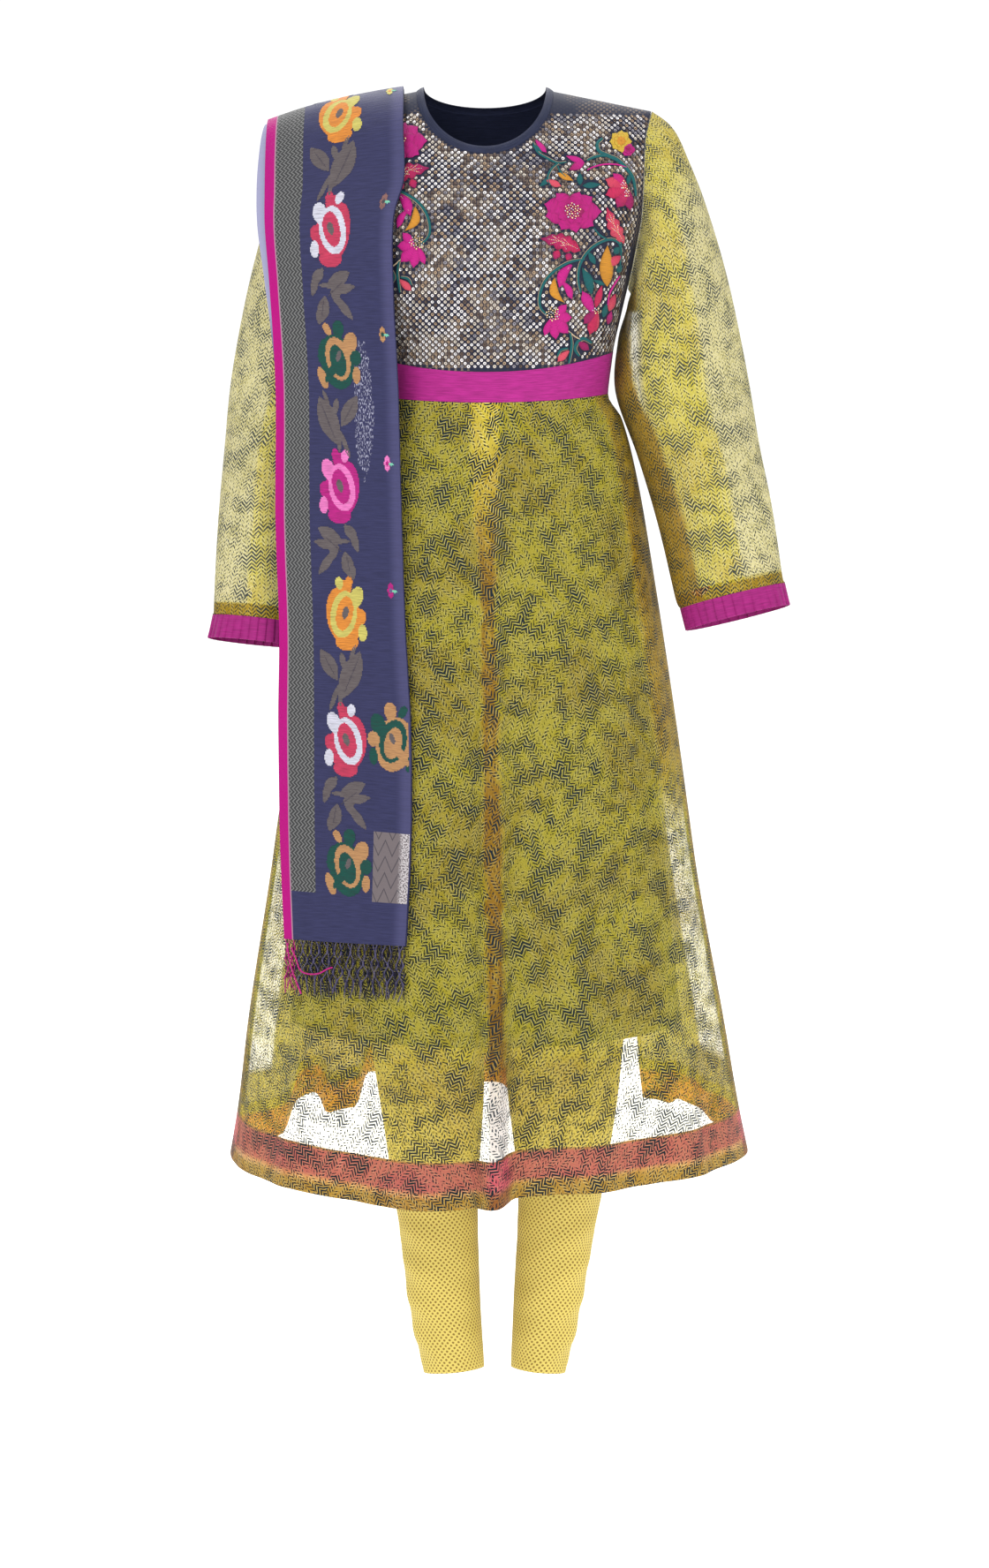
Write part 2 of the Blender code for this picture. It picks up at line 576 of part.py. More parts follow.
def skirt_point(angle, level, back):
    """Point of the skirt from waist seam (level 0) to hem (level 1)."""
    folds = BACK_FOLDS if back else FRONT_FOLDS
    top = band_foot(angle, back) - SEAM / 2
    hem_line = BACK_HEM if back else FRONT_HEM
    hem = HEM_Z + smooth_value([h.degrees for h in hem_line], [h.rise for h in hem_line],
                               math.degrees(angle))
    hem_width = KAMEEZ[-1].left
    push = 0.0
    for fold in folds:
        centre = math.asin(fold.x / hem_width)
        reach = fold.before if angle < centre else fold.after
        reach /= hem_width * math.cos(centre)
        if fold.top_depth:
            reach *= hem_width / half_width(angle, top + (hem - top) * level)
        off_centre = min(abs(angle - centre) / reach, 1.0)
        bell = math.cos(math.pi / 2 * off_centre ** (1.6 if back else 1.0)) ** 2
        z = top + (hem - top) * level
        grow = max((fold.start - z) / (fold.start - HEM_Z), 0.0) ** fold.opening
        push += bell * (fold.top_depth * ease(level / 0.05)
                        + (fold.depth - fold.top_depth) * grow)
        hem += fold.lift * bell
    point = body_point(angle, top + (hem - top) * level, back)
    outward = Vector((point.x / hem_width, point.y / KAMEEZ[-1].front, 0))
    return point + (Vector((0, 1, 0)) if back else outward.normalized()) * push


def skirt(name, back):
    """Sheer skirt panel, its hem facing and the lining behind it."""
    angles = fold_angles(BACK_FOLDS if back else FRONT_FOLDS)
    rows = [[skirt_point(angle, level, back) for angle in angles]
            for level in SKIRT_LEVELS]
    normals = grid_normals(rows, False)
    level_side_seams(normals, len(rows) - 1)
    wall(name, rows, SHEER_WALL, "sheer print", normals=normals)
    first, last = BACK_FACING if back else FRONT_FACING
    side = "back" if back else "front"
    wall("hem_facing_" + side, rows[first:last + 1], FACING_WALL,
         "sheer print" if back else "coral facing", normals=normals[first:last + 1],
         lift=-SHEER_WALL - LAYER_GAP)
    lining("lining_" + side, back)


def lining(name, back):
    """Opaque lining panel that hangs from the waist seam."""
    column = "back" if back else "front"
    angles = [math.radians(a) for a in (-90, -80, -66, -52, -39, -26, -13, 0,
                                        13, 26, 39, 52, 66, 80, 90)]
    rows = []
    for section in (None,) + tuple(LINING):
        line = []
        for angle in angles:
            if section is None:
                z = band_foot(angle, back) - SEAM
                point = body_point(angle, z, back)
                scale = 1 - LINING_INSET / from_table(KAMEEZ, column, z)
                wide = 1 - LINING_INSET / half_width(angle, z)
                line.append(Vector((point.x * wide, point.y * scale, z)))
                continue
            y = getattr(section, column) * max(math.cos(angle), 0.0) + HALF_SEAM
            x = section.half_width * math.sin(angle)
            line.append(Vector((x, y if back else -y, section.z)))
        rows.append(line)
    normals = grid_normals(rows, False)
    level_side_seams(normals, len(rows) - 1)
    wall(name, rows, FACING_WALL, "lining", normals=normals)


# ================================================================ sleeves
def ring_point(ring, turn, side):
    """Point of a sleeve ring; turn 0 is outermost, 90 degrees is the front."""
    outer = Vector((ring.outer_x, 0, ring.outer_z))
    inner = Vector((ring.inner_x, 0, ring.inner_z))
    tilt = math.radians(ring.tilt)
    forward = Vector((0, -math.cos(tilt), math.sin(tilt))) * ring.half_depth
    point = ((outer + inner) / 2 + (outer - inner) / 2 * math.cos(turn)
             + forward * math.sin(turn) + Vector((0, ring.middle_y, 0)))
    return Vector((side * point.x, point.y, point.z))


def armhole_point(turn, side):
    """Point of the armhole edge, a seam's width outside the yoke."""
    back = math.sin(turn) < 0
    half_height = (-SHOULDER_DROP - UNDERARM_Z) / 2
    z = UNDERARM_Z + half_height * (1 + math.cos(turn))
    x = from_table(ARMHOLE, "back" if back else "front", z)
    point = body_point(angle_at(x, z), z, back, share=0.0)
    return Vector((side * (point.x + SLEEVE_EASE), point.y, point.z))


def sleeve(label, rings, cuff_foot, side):
    """Sleeve, the turned hem inside it, and its pleated cuff."""
    turns = [2 * math.pi * k / SLEEVE_SIDES for k in range(SLEEVE_SIDES)]
    rows = [[armhole_point(turn, side) for turn in turns]]
    rows += [[ring_point(ring, turn, side) for turn in turns] for ring in rings]
    normals = grid_normals(rows, True)
    wall("sleeve_" + label, rows, SHEER_WALL, "sheer print", closed=True, normals=normals)
    wall("sleeve_hem_" + label, rows[-2:], FACING_WALL, "sheer print", closed=True,
         normals=normals[-2:], lift=-SHEER_WALL - LAYER_GAP)
    cuff("cuff_" + label, rings[-1], cuff_foot, side)


def cuff(name, top, foot, side):
    """Band of knife pleats below the sleeve."""
    points = [(k + share, height) for k in range(CUFF_PLEATS)
              for share, height in PLEAT_PROFILE]
    rows = []
    drop = Vector((0, 0, -2 * SEAM))
    for ring in (top, foot):
        middle = (ring_point(ring, 0, side) + ring_point(ring, math.pi, side)) / 2
        line = []
        for place, height in points:
            point = ring_point(ring, 2 * math.pi * place / CUFF_PLEATS, side)
            out = (point - middle).normalized()
            line.append(point + out * PLEAT_DEPTH * (height - 0.7)
                        + (drop if ring is top else Vector()))
        rows.append(line)
    wall(name, rows, FACING_WALL, "magenta silk", closed=True)


# ================================================================ scarf
def scarf_station(share):
    """Inner and outer edge of the folded scarf at a share of its length."""
    lengths = [0.0]
    for a, b in zip(SCARF, SCARF[1:]):
        step = Vector((b.in_x - a.in_x, b.in_y - a.in_y, b.in_z - a.in_z)).length
        lengths.append(lengths[-1] + step)
    at = share * lengths[-1]
    k = max(i for i in range(len(SCARF) - 1) if lengths[i] <= at or i == 0)
    t = (at - lengths[k]) / (lengths[k + 1] - lengths[k])
    before, a = SCARF[max(k - 1, 0)], SCARF[k]
    b, after = SCARF[k + 1], SCARF[min(k + 2, len(SCARF) - 1)]
    values = []
    for p0, p1, p2, p3 in zip(before, a, b, after):
        values.append(p1 + 0.5 * t * (p2 - p0 + t * (2 * p0 - 5 * p1 + 4 * p2 - p3
                                                     + t * (3 * (p1 - p2) + p3 - p0))))
    return Vector(values[:3]), Vector(values[3:])


def scarf_frame(share):
    """Edges of a station, the way its outer face looks, and the way along."""
    inner, outer = scarf_station(share)
    step = 0.004
    along = (sum(scarf_station(min(share + step, 1.0)), Vector())
             - sum(scarf_station(max(share - step, 0.0)), Vector())).normalized()
    return inner, outer, (inner - outer).cross(along).normalized(), along


def scarf_path(share):
    """Cross-section of the accordion fold: (place across, depth, overhang)."""
    slip = 0.0
    if SLIP_FROM < share < SLIP_TO:
        slip = SCARF_SLIP * math.sin(math.pi * (share - SLIP_FROM) / (SLIP_TO - SLIP_FROM)) ** 2
    path = []
    for layer in range(SCARF_LAYERS):
        depth = -layer * SCARF_PITCH
        places = (0.0, 0.5, 1.0) if layer % 2 == 0 else (1.0, 0.5, 0.0)
        lowest = layer >= SCARF_LAYERS - 2
        for place in places:
            out = slip if lowest and place == 0.0 else 0.0
            path.append((place, depth - SLIP_SAG * out, -out))
        if layer < SCARF_LAYERS - 1:
            overhang = SCARF_FOLD if layer % 2 == 0 else -SCARF_FOLD
            out = slip if lowest else 0.0
            path.append((places[-1], depth - SCARF_PITCH / 2 - SLIP_SAG * out, overhang - out))
    return path


def scarf():
    """The folded scarf: one wall that runs to and fro through its layers."""
    rows = []
    for share in SCARF_STOPS:
        inner, outer, facing, _ = scarf_frame(share)
        across = (inner - outer).normalized()
        rows.append([outer.lerp(inner, place) + across * overhang
                     + facing * (SCARF_BOW * math.sin(math.pi * place) + depth)
                     for place, depth, overhang in scarf_path(share)])
    in_layer = 4         # columns from one fold of the scarf to the next
    turned = [i for i in range(len(rows[0]) - 1) if i // in_layer % 2 == 1]
    wall("scarf", rows, SCARF_WALL, "scarf silk", lift=SCARF_WALL / 2, turned=turned)


def fringe(name, share):
    """Strip of yarn at one end of the scarf with two rows of strands."""
    inner, outer, facing, along = scarf_frame(share)
    down = along if share > 0.5 else -along
    across = (inner - outer).normalized()
    width = (inner - outer).length
    near, far = SCARF_WALL / 2, -(SCARF_LAYERS - 1) * SCARF_PITCH - SCARF_WALL / 2
    third = (far - near) / 3
    depths = (near, near + third, far - third, far)
    pitch = width / FRINGE_STRANDS
    places = [0.0]
    for k in range(FRINGE_STRANDS):
        middle = (k + 0.5) * pitch
        places += [middle - STRAND_WIDTH / 2, middle + STRAND_WIDTH / 2]
    places.append(width)

    def spot(place, depth, drop):
        bow = SCARF_BOW * math.sin(math.pi * min(max(place / width, 0.0), 1.0))
        return outer + across * place + facing * (bow + depth) + down * drop

    mesh = bpy.data.meshes.new(name)
    shape = bmesh.new()
    top = [[shape.verts.new(spot(place, depth, FRINGE_GAP)) for place in places]
           for depth in (near, far)]
    foot = [[shape.verts.new(spot(place, depth, FRINGE_GAP + FRINGE_STRIP))
             for place in places] for depth in depths]
    for i in range(len(places) - 1):
        shape.faces.new((top[0][i], top[0][i + 1], top[1][i + 1], top[1][i]))
        shape.faces.new((top[0][i], foot[0][i], foot[0][i + 1], top[0][i + 1]))
        shape.faces.new((top[1][i], top[1][i + 1], foot[-1][i + 1], foot[-1][i]))
        for row in range(3):
            root = (foot[row][i], foot[row][i + 1], foot[row + 1][i + 1], foot[row + 1][i])
            if i % 2 == 1 and row != 1:
                lean = FRINGE_LEAN if row == 0 else -FRINGE_LEAN
                end = [shape.verts.new(spot(place + lean, depth, FRINGE_LENGTH))
                       for place, depth in ((places[i], depths[row]),
                                            (places[i + 1], depths[row]),
                                            (places[i + 1], depths[row + 1]),
                                            (places[i], depths[row + 1]))]
                for k in range(4):
                    shape.faces.new((root[k], root[(k + 1) % 4], end[(k + 1) % 4], end[k]))
                shape.faces.new(end)
            else:
                shape.faces.new(root)
    for i in (0, -1):
        shape.faces.new([top[0][i]] + [line[i] for line in foot] + [top[1][i]])
    finish(name, mesh, shape, "fringe yarn")


# ================================================================ trousers
def leg(name, table, side):
    """One trouser leg: a single cut piece, closed at the inseam below the
    crotch and spread to centre front and centre back above it."""
    shares = [INSEAM_SHARE + (1 - 2 * INSEAM_SHARE) * k / LEG_SIDES
              for k in range(LEG_SIDES + 1)]
    rows = []
    for level in TROUSER_LEVELS:
        line = []
        for share in shares:
            turn = 2 * math.pi * share
            z = level
            if level == TROUSER_LEVELS[-1]:
                z -= ANKLE_SLANT * (0.5 - 0.5 * math.cos(turn))
                z += (ANKLE_RISE if share < 0.5 else ANKLE_DROP) * math.sin(turn)
            inner = from_table(table, "inner_x", z)
            outer = from_table(table, "outer_x", z)
            tube = Vector(((inner + outer) / 2 - (outer - inner) / 2 * math.cos(turn),
                           from_table(table, "middle_y", z)
                           - from_table(table, "half_depth", z) * math.sin(turn), z))
            depth = from_table(HIPS, "front" if share < 0.5 else "back", z)
            open_half = Vector((from_table(HIPS, "half_width", z) * math.sin(turn / 2),
                                -depth * math.cos(turn / 2), z))
            point = open_half.lerp(tube, ease((CROTCH_TOP - z) / (CROTCH_TOP - CROTCH_FOOT)))
            line.append(Vector((side * point.x, point.y, point.z)))
        rows.append(line)
    normals = grid_normals(rows, False)
    for level, line in zip(TROUSER_LEVELS, normals):
        closing = ease((CROTCH_TOP - level) / (CROTCH_TOP - CROTCH_FOOT))
        line[0].xyz = Vector((-side * closing, closing - 1, 0)).normalized()
        line[-1].xyz = Vector((-side * closing, 1 - closing, 0)).normalized()
    wall(name, rows, TROUSER_WALL, "dotted cotton", normals=normals)


def waistband():
    """Waistband of the trousers."""
    sides = 28
    top = TROUSER_LEVELS[0]
    rows = []
    for z in (top + SEAM + WAISTBAND_HEIGHT, top + SEAM):
        line = []
        for k in range(sides):
            turn = 2 * math.pi * k / sides
            depth = HIPS[0].front if math.cos(turn) > 0 else HIPS[0].back
            line.append(Vector((HIPS[0].half_width * math.sin(turn),
                                -depth * math.cos(turn), z)))
        rows.append(line)
    wall("trouser_waistband", rows, TROUSER_WALL, "dotted cotton", closed=True)


# ================================================================ the suit
def build():
    """Make every piece of the suit."""
    for old in list(bpy.data.objects):
        bpy.data.objects.remove(old, do_unlink=True)
    yoke("yoke_front", back=False)
    yoke("yoke_back", back=True)
    neck_binding()
    waist_band()
    skirt("skirt_front", back=False)
    skirt("skirt_back", back=True)
    sleeve("left", LEFT_SLEEVE, LEFT_CUFF_FOOT, side=1)
    sleeve("right", RIGHT_SLEEVE, RIGHT_CUFF_FOOT, side=-1)
    scarf()
    fringe("fringe_front", 0.0)
    fringe("fringe_back", 1.0)
    leg("trouser_leg_left", LEFT_LEG, side=1)
    leg("trouser_leg_right", RIGHT_LEG, side=-1)
    waistband()


build()
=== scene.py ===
"""Looks of a salwar kameez suit: sequinned yoke, sheer printed skirt and sleeves,
dotted trousers, and a folded brocade scarf with a knotted fringe.

Metres, +Z up. The origin is at shoulder height on the middle of the body, the
front faces -Y and the wearer's left is +X.
"""

import logging
import math
from dataclasses import dataclass, field
from enum import Enum

import bpy
import numpy as np
from mathutils import Euler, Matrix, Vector
from mathutils.bvhtree import BVHTree


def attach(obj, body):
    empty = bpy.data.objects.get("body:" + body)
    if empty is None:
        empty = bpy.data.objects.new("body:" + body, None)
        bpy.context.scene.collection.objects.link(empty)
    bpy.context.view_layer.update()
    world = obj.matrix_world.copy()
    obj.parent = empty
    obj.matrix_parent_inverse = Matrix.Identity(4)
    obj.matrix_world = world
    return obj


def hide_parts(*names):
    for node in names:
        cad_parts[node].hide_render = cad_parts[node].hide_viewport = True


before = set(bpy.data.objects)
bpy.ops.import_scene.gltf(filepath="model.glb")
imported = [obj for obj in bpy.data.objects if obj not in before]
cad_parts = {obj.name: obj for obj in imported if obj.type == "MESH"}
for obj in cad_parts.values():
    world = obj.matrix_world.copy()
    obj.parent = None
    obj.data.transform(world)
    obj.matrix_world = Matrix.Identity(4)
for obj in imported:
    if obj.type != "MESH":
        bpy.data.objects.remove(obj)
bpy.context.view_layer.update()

LOG = logging.getLogger("suit")
Array = np.ndarray
Colour = tuple[float, float, float]
Spot = tuple[float, float, float]
Flat = tuple[float, float]       # width and length of a cloth laid flat, in metres

# ---------------------------------------------------------------- cloth
SHELL = 0.0008           # thickness of an opaque cloth
SEAM = 0.0003
HALF_SEAM = 0.0002
LAYER_GAP = 0.0014       # from a sheer panel's face to the facing behind it
SHOULDER_TIP = 0.174
SHOULDER_DROP = 0.0205
UNDERARM_Z = -0.205
ROUNDING_Z = -0.110
NECK_HALF_WIDTH = 0.0705
NECK_RISE = 0.022
NECK_DEPTH = {False: 0.067, True: 0.020}      # front, back
BINDING_WIDTH = 0.0066
BINDING_ROLL = 0.0011
BINDING_LAP = 0.0009      # how far it laps over the yokes
BAND_TOP_Z = -0.270
BAND_TOP_DIP = 0.0195
BAND_FOOT_Z = -0.314
BAND_FOOT_DIP = 0.0070
HEM_Z = -1.137


# ================================================================ curves
def smooth(knots: Array, values: Array, at: Array) -> Array:
    """Read a smooth curve that never overshoots its knots.

    Args:
        knots: places of the knots, rising or falling.
        values: the curve's value at each knot.
        at: places to read it at.

    Returns:
        The values there, in the shape of `at`.
    """
    knots, values = np.asarray(knots, float), np.asarray(values, float)
    if knots[0] > knots[-1]:
        knots, values = knots[::-1], values[::-1]
    step = np.diff(knots)
    slope = np.diff(values) / step
    tangent = np.concatenate([slope[:1], np.zeros(len(slope) - 1), slope[-1:]])
    same = slope[:-1] * slope[1:] > 0
    tangent[1:-1][same] = 2 / (1 / slope[:-1][same] + 1 / slope[1:][same])
    at = np.clip(at, knots[0], knots[-1])
    k = np.clip(np.searchsorted(knots, at, side="right") - 1, 0, len(step) - 1)
    t = (at - knots[k]) / step[k]
    rise = (values[k + 1] - values[k]) * t * t * (3 - 2 * t)
    return values[k] + rise + step[k] * t * (1 - t) * (tangent[k] * (1 - t) - tangent[k + 1] * t)


def ease(t: Array) -> Array:
    """Smooth step from 0 to 1."""
    t = np.clip(t, 0.0, 1.0)
    return t * t * (3 - 2 * t)


def power(value: Array, exponent: Array) -> Array:
    """Signed power."""
    return np.copysign(np.abs(value) ** exponent, value)


def unit(vectors: Array) -> Array:
    """Vectors of length 1."""
    return vectors / np.maximum(np.linalg.norm(vectors, axis=-1, keepdims=True), 1e-12)


def finer(stops: Array, parts: int) -> Array:
    """Each gap between stops divided into equal parts."""
    stops = np.asarray(stops, float)
    return np.interp(np.arange((len(stops) - 1) * parts + 1) / parts, np.arange(len(stops)), stops)


def through(rows: Array, at: Array) -> Array:
    """Read rows of points as smooth curves from row to row.

    Args:
        rows: an array whose first axis counts the rows.
        at: row numbers, which may lie between two rows.

    Returns:
        One row for each number.
    """
    last = len(rows) - 1
    k = np.clip(np.floor(at).astype(int), 0, last - 1)
    t = (at - k).reshape((-1,) + (1,) * (rows.ndim - 1))
    a, b, c, d = (rows[np.clip(k + step, 0, last)] for step in (-1, 0, 1, 2))
    return b + t / 2 * (c - a + t * (2 * a - 5 * b + 4 * c - d + t * (3 * (b - c) + d - a)))


@dataclass(frozen=True)
class Table:
    """Rows under named columns, each read as a smooth curve of the first column."""

    columns: str
    rows: tuple[tuple[float, ...], ...]

    def column(self, name: str) -> Array:
        """All the values of one column."""
        return np.array([row[self.columns.split().index(name)] for row in self.rows], float)

    def read(self, name: str, at: Array) -> Array:
        """One column's value at places of the first column."""
        return smooth(self.column(self.columns.split()[0]), self.column(name), at)


# ================================================================ tables
BODY = Table("z left right front back squareness", (
    (0.025, 0.192, 0.1920, 0.062, 0.088, 2.4), (-0.040, 0.1825, 0.1825, 0.075, 0.094, 2.4),
    (-0.080, 0.1770, 0.1770, 0.089, 0.098, 2.4), (-0.120, 0.1710, 0.1710, 0.105, 0.100, 2.4),
    (-0.160, 0.1610, 0.1610, 0.118, 0.098, 2.35), (-0.205, 0.1500, 0.1500, 0.124, 0.094, 2.3),
    (-0.235, 0.1430, 0.1430, 0.119, 0.090, 2.25), (-0.270, 0.1355, 0.1355, 0.107, 0.086, 2.2),
    (-0.315, 0.1305, 0.1305, 0.099, 0.085, 2.15), (-0.340, 0.1450, 0.1450, 0.103, 0.089, 2.1),
    (-0.406, 0.1625, 0.1625, 0.114, 0.099, 2.05), (-0.510, 0.1810, 0.1810, 0.131, 0.112, 2.0),
    (-0.667, 0.2060, 0.2060, 0.151, 0.124, 2.0), (-0.760, 0.2195, 0.2225, 0.163, 0.129, 2.0),
    (-0.828, 0.2295, 0.2325, 0.171, 0.132, 2.0), (-0.990, 0.2600, 0.2585, 0.193, 0.142, 2.0),
    (-1.085, 0.2770, 0.2705, 0.205, 0.147, 2.0), (-1.160, 0.2930, 0.2835, 0.214, 0.151, 2.0)))
HEM_REACH = (0.2930, 0.214)       # half width and front depth of the lowest section

ARMHOLE = Table("z front back", (
    (-0.2050, 0.1500, 0.1500), (-0.1650, 0.1575, 0.1560), (-0.1250, 0.1635, 0.1595),
    (-0.0900, 0.1648, 0.1600), (-0.0550, 0.1662, 0.1625), (-0.0205, 0.1740, 0.1740)))

HEM_RISE = {
    False: Table("degrees rise", (
        (-90, 0.0), (-66, -0.0040), (-45, -0.0010), (-31, -0.0070), (-19, -0.0100), (-4, -0.0085),
        (2, -0.0030), (8, 0.0030), (25, 0.0050), (46, 0.0055), (59, 0.0055), (75, 0.0030), (90, 0.0))),
    True: Table("degrees rise", (
        (-90, 0.0), (-75, -0.0070), (-61, -0.0100), (-45, 0.0060), (-33, 0.0145), (0, 0.0140),
        (25, 0.0180), (42, 0.0280), (58, 0.0140), (73, 0.0110), (90, 0.0))),
}

FOLD_COLUMNS = "x before after depth top_depth start opening lift"
FOLDS = {
    False: Table(FOLD_COLUMNS, (
        (0.010, 0.021, 0.021, 0.030, 0.003, -0.318, 1.6, 0.001),
        (-0.205, 0.060, 0.060, 0.014, 0.0, -0.640, 1.8, 0.000),
        (-0.060, 0.070, 0.062, 0.010, 0.0, -0.800, 1.8, 0.000),
        (0.120, 0.046, 0.046, 0.009, 0.0, -0.700, 1.8, 0.000),
        (0.222, 0.034, 0.034, 0.012, 0.0, -0.760, 1.8, 0.002))),
    True: Table(FOLD_COLUMNS, (
        (-0.225, 0.014, 0.034, 0.048, 0.0, -0.620, 2.5, 0.022),
        (-0.143, 0.014, 0.034, 0.066, 0.0, -0.560, 2.5, 0.026),
        (0.000, 0.040, 0.040, 0.072, 0.0, -0.480, 2.2, 0.008),
        (0.088, 0.022, 0.026, 0.040, 0.0, -0.600, 2.4, 0.008),
        (0.1765, 0.043, 0.0105, 0.100, 0.0, -0.560, 2.5, 0.052),
        (0.240, 0.024, 0.024, 0.030, 0.0, -0.700, 2.5, 0.006))),
}
SKIRT_LEVELS = (0.0, 0.03, 0.11, 0.24, 0.38, 0.52, 0.66, 0.79, 0.88, 0.941, 0.982, 1.0)
FACING_LEVELS = {False: (9, 10), True: (9, 11)}

LINING = Table("z half_width front back", (
    (-0.345, 0.1320, 0.098, 0.0835), (-0.420, 0.1500, 0.106, 0.0920),
    (-0.550, 0.1690, 0.120, 0.1020), (-0.700, 0.1830, 0.134, 0.1100),
    (-0.850, 0.1980, 0.147, 0.1150), (-0.988, 0.2130, 0.160, 0.1200)))
LINING_INSET = 0.0019

RING_COLUMNS = "row outer_x outer_z inner_x inner_z middle_y half_depth tilt"
SLEEVE_RINGS = {
    "left": Table(RING_COLUMNS, (
        (1, 0.1940, -0.0363, 0.1545, -0.2125, 0.000, 0.050, 0),
        (2, 0.2106, -0.0650, 0.1500, -0.2210, 0.000, 0.055, 0),
        (3, 0.2313, -0.1138, 0.1465, -0.2340, 0.000, 0.058, 0),
        (4, 0.2541, -0.1917, 0.1405, -0.2620, -0.001, 0.057, 1),
        (5, 0.2765, -0.2940, 0.1380, -0.3135, -0.006, 0.053, 4),
        (6, 0.2900, -0.3640, 0.1610, -0.3810, -0.014, 0.049, 7),
        (7, 0.3028, -0.4257, 0.1855, -0.4580, -0.026, 0.045, 9),
        (8, 0.3143, -0.4985, 0.2035, -0.5265, -0.039, 0.040, 10),
        (9, 0.3170, -0.5119, 0.2065, -0.5390, -0.042, 0.039, 10),
        (10, 0.3225, -0.5350, 0.2125, -0.5620, -0.047, 0.041, 10))),
    "right": Table(RING_COLUMNS, (
        (1, 0.1930, -0.0363, 0.1545, -0.2125, 0.000, 0.050, 0),
        (2, 0.2085, -0.0650, 0.1500, -0.2210, 0.000, 0.055, 0),
        (3, 0.2265, -0.1180, 0.1465, -0.2340, 0.000, 0.057, 0),
        (4, 0.2475, -0.1980, 0.1405, -0.2620, -0.001, 0.056, 1),
        (5, 0.2665, -0.2940, 0.1380, -0.3135, -0.006, 0.052, 4),
        (6, 0.2755, -0.3650, 0.1600, -0.3760, -0.014, 0.048, 7),
        (7, 0.2825, -0.4400, 0.1765, -0.4500, -0.026, 0.044, 9),
        (8, 0.2878, -0.5330, 0.1905, -0.5430, -0.040, 0.039, 10),
        (9, 0.2882, -0.5455, 0.1925, -0.5555, -0.042, 0.038, 10),
        (10, 0.2936, -0.5700, 0.1930, -0.5800, -0.047, 0.040, 10))),
}

HIPS = Table("z half_width front back", (
    (-0.4200, 0.1220, 0.083, 0.078), (-0.5300, 0.1440, 0.092, 0.086),
    (-0.6300, 0.1580, 0.100, 0.096), (-0.7600, 0.1640, 0.100, 0.098)))
LEG_COLUMNS = "z inner_x outer_x middle_y half_depth"
LEGS = {
    "left": Table(LEG_COLUMNS, (
        (-0.6300, 0.0015, 0.1620, 0.002, 0.094), (-0.7600, 0.0030, 0.1640, 0.002, 0.0911),
        (-0.9000, 0.0110, 0.1580, 0.000, 0.078), (-1.0600, 0.0230, 0.1470, 0.000, 0.066),
        (-1.2000, 0.0360, 0.1260, 0.002, 0.057), (-1.3000, 0.0315, 0.1080, 0.002, 0.050),
        (-1.4000, 0.0275, 0.0870, 0.000, 0.044))),
    "right": Table(LEG_COLUMNS, (
        (-0.6300, 0.0015, 0.1600, 0.002, 0.094), (-0.7600, 0.0015, 0.1570, 0.002, 0.0934),
        (-0.9000, 0.0015, 0.1430, 0.000, 0.078), (-1.0600, 0.0015, 0.1190, 0.000, 0.066),
        (-1.2000, 0.0085, 0.0990, 0.002, 0.057), (-1.3000, 0.0060, 0.0860, 0.002, 0.050),
        (-1.4000, 0.0005, 0.0670, 0.000, 0.044))),
}

SCARF = Table("in_x in_y in_z out_x out_y out_z", (
    (-0.0829, -0.1800, -0.8758, -0.2106, -0.1230, -0.8792),
    (-0.0774, -0.1660, -0.7680, -0.2150, -0.1120, -0.7640),
    (-0.0774, -0.1520, -0.6621, -0.2160, -0.1020, -0.6560),
    (-0.0828, -0.1365, -0.5550, -0.2145, -0.0980, -0.5550),
    (-0.0866, -0.1220, -0.4400, -0.2177, -0.0900, -0.4370),
    (-0.0900, -0.1150, -0.3100, -0.2168, -0.0800, -0.3100),
    (-0.0944, -0.1180, -0.2050, -0.2222, -0.0780, -0.2050),
    (-0.0944, -0.1120, -0.1358, -0.2268, -0.0730, -0.1430),
    (-0.0835, -0.0970, -0.0911, -0.2272, -0.0650, -0.1047),
    (-0.0850, -0.0700, -0.0420, -0.2272, -0.0480, -0.0670),
    (-0.0855, -0.0350, -0.0070, -0.2270, -0.0250, -0.0380),
    (-0.0860, 0.0000, 0.0052, -0.2270, 0.0000, -0.0285),
    (-0.0865, 0.0400, -0.0050, -0.2270, 0.0275, -0.0372),
    (-0.0870, 0.0785, -0.0400, -0.2275, 0.0515, -0.0660),
    (-0.0880, 0.1070, -0.1000, -0.2280, 0.0690, -0.1150),
    (-0.0900, 0.1110, -0.2000, -0.2270, 0.0740, -0.2050),
    (-0.0900, 0.1080, -0.3500, -0.2240, 0.0780, -0.3500),
    (-0.0880, 0.1150, -0.5000, -0.2220, 0.0880, -0.5000),
    (-0.0870, 0.1290, -0.6500, -0.2200, 0.1010, -0.6500),
    (-0.0860, 0.1490, -0.8000, -0.2180, 0.1210, -0.8000),
    (-0.0860, 0.1780, -0.9800, -0.2170, 0.1500, -0.9800)))

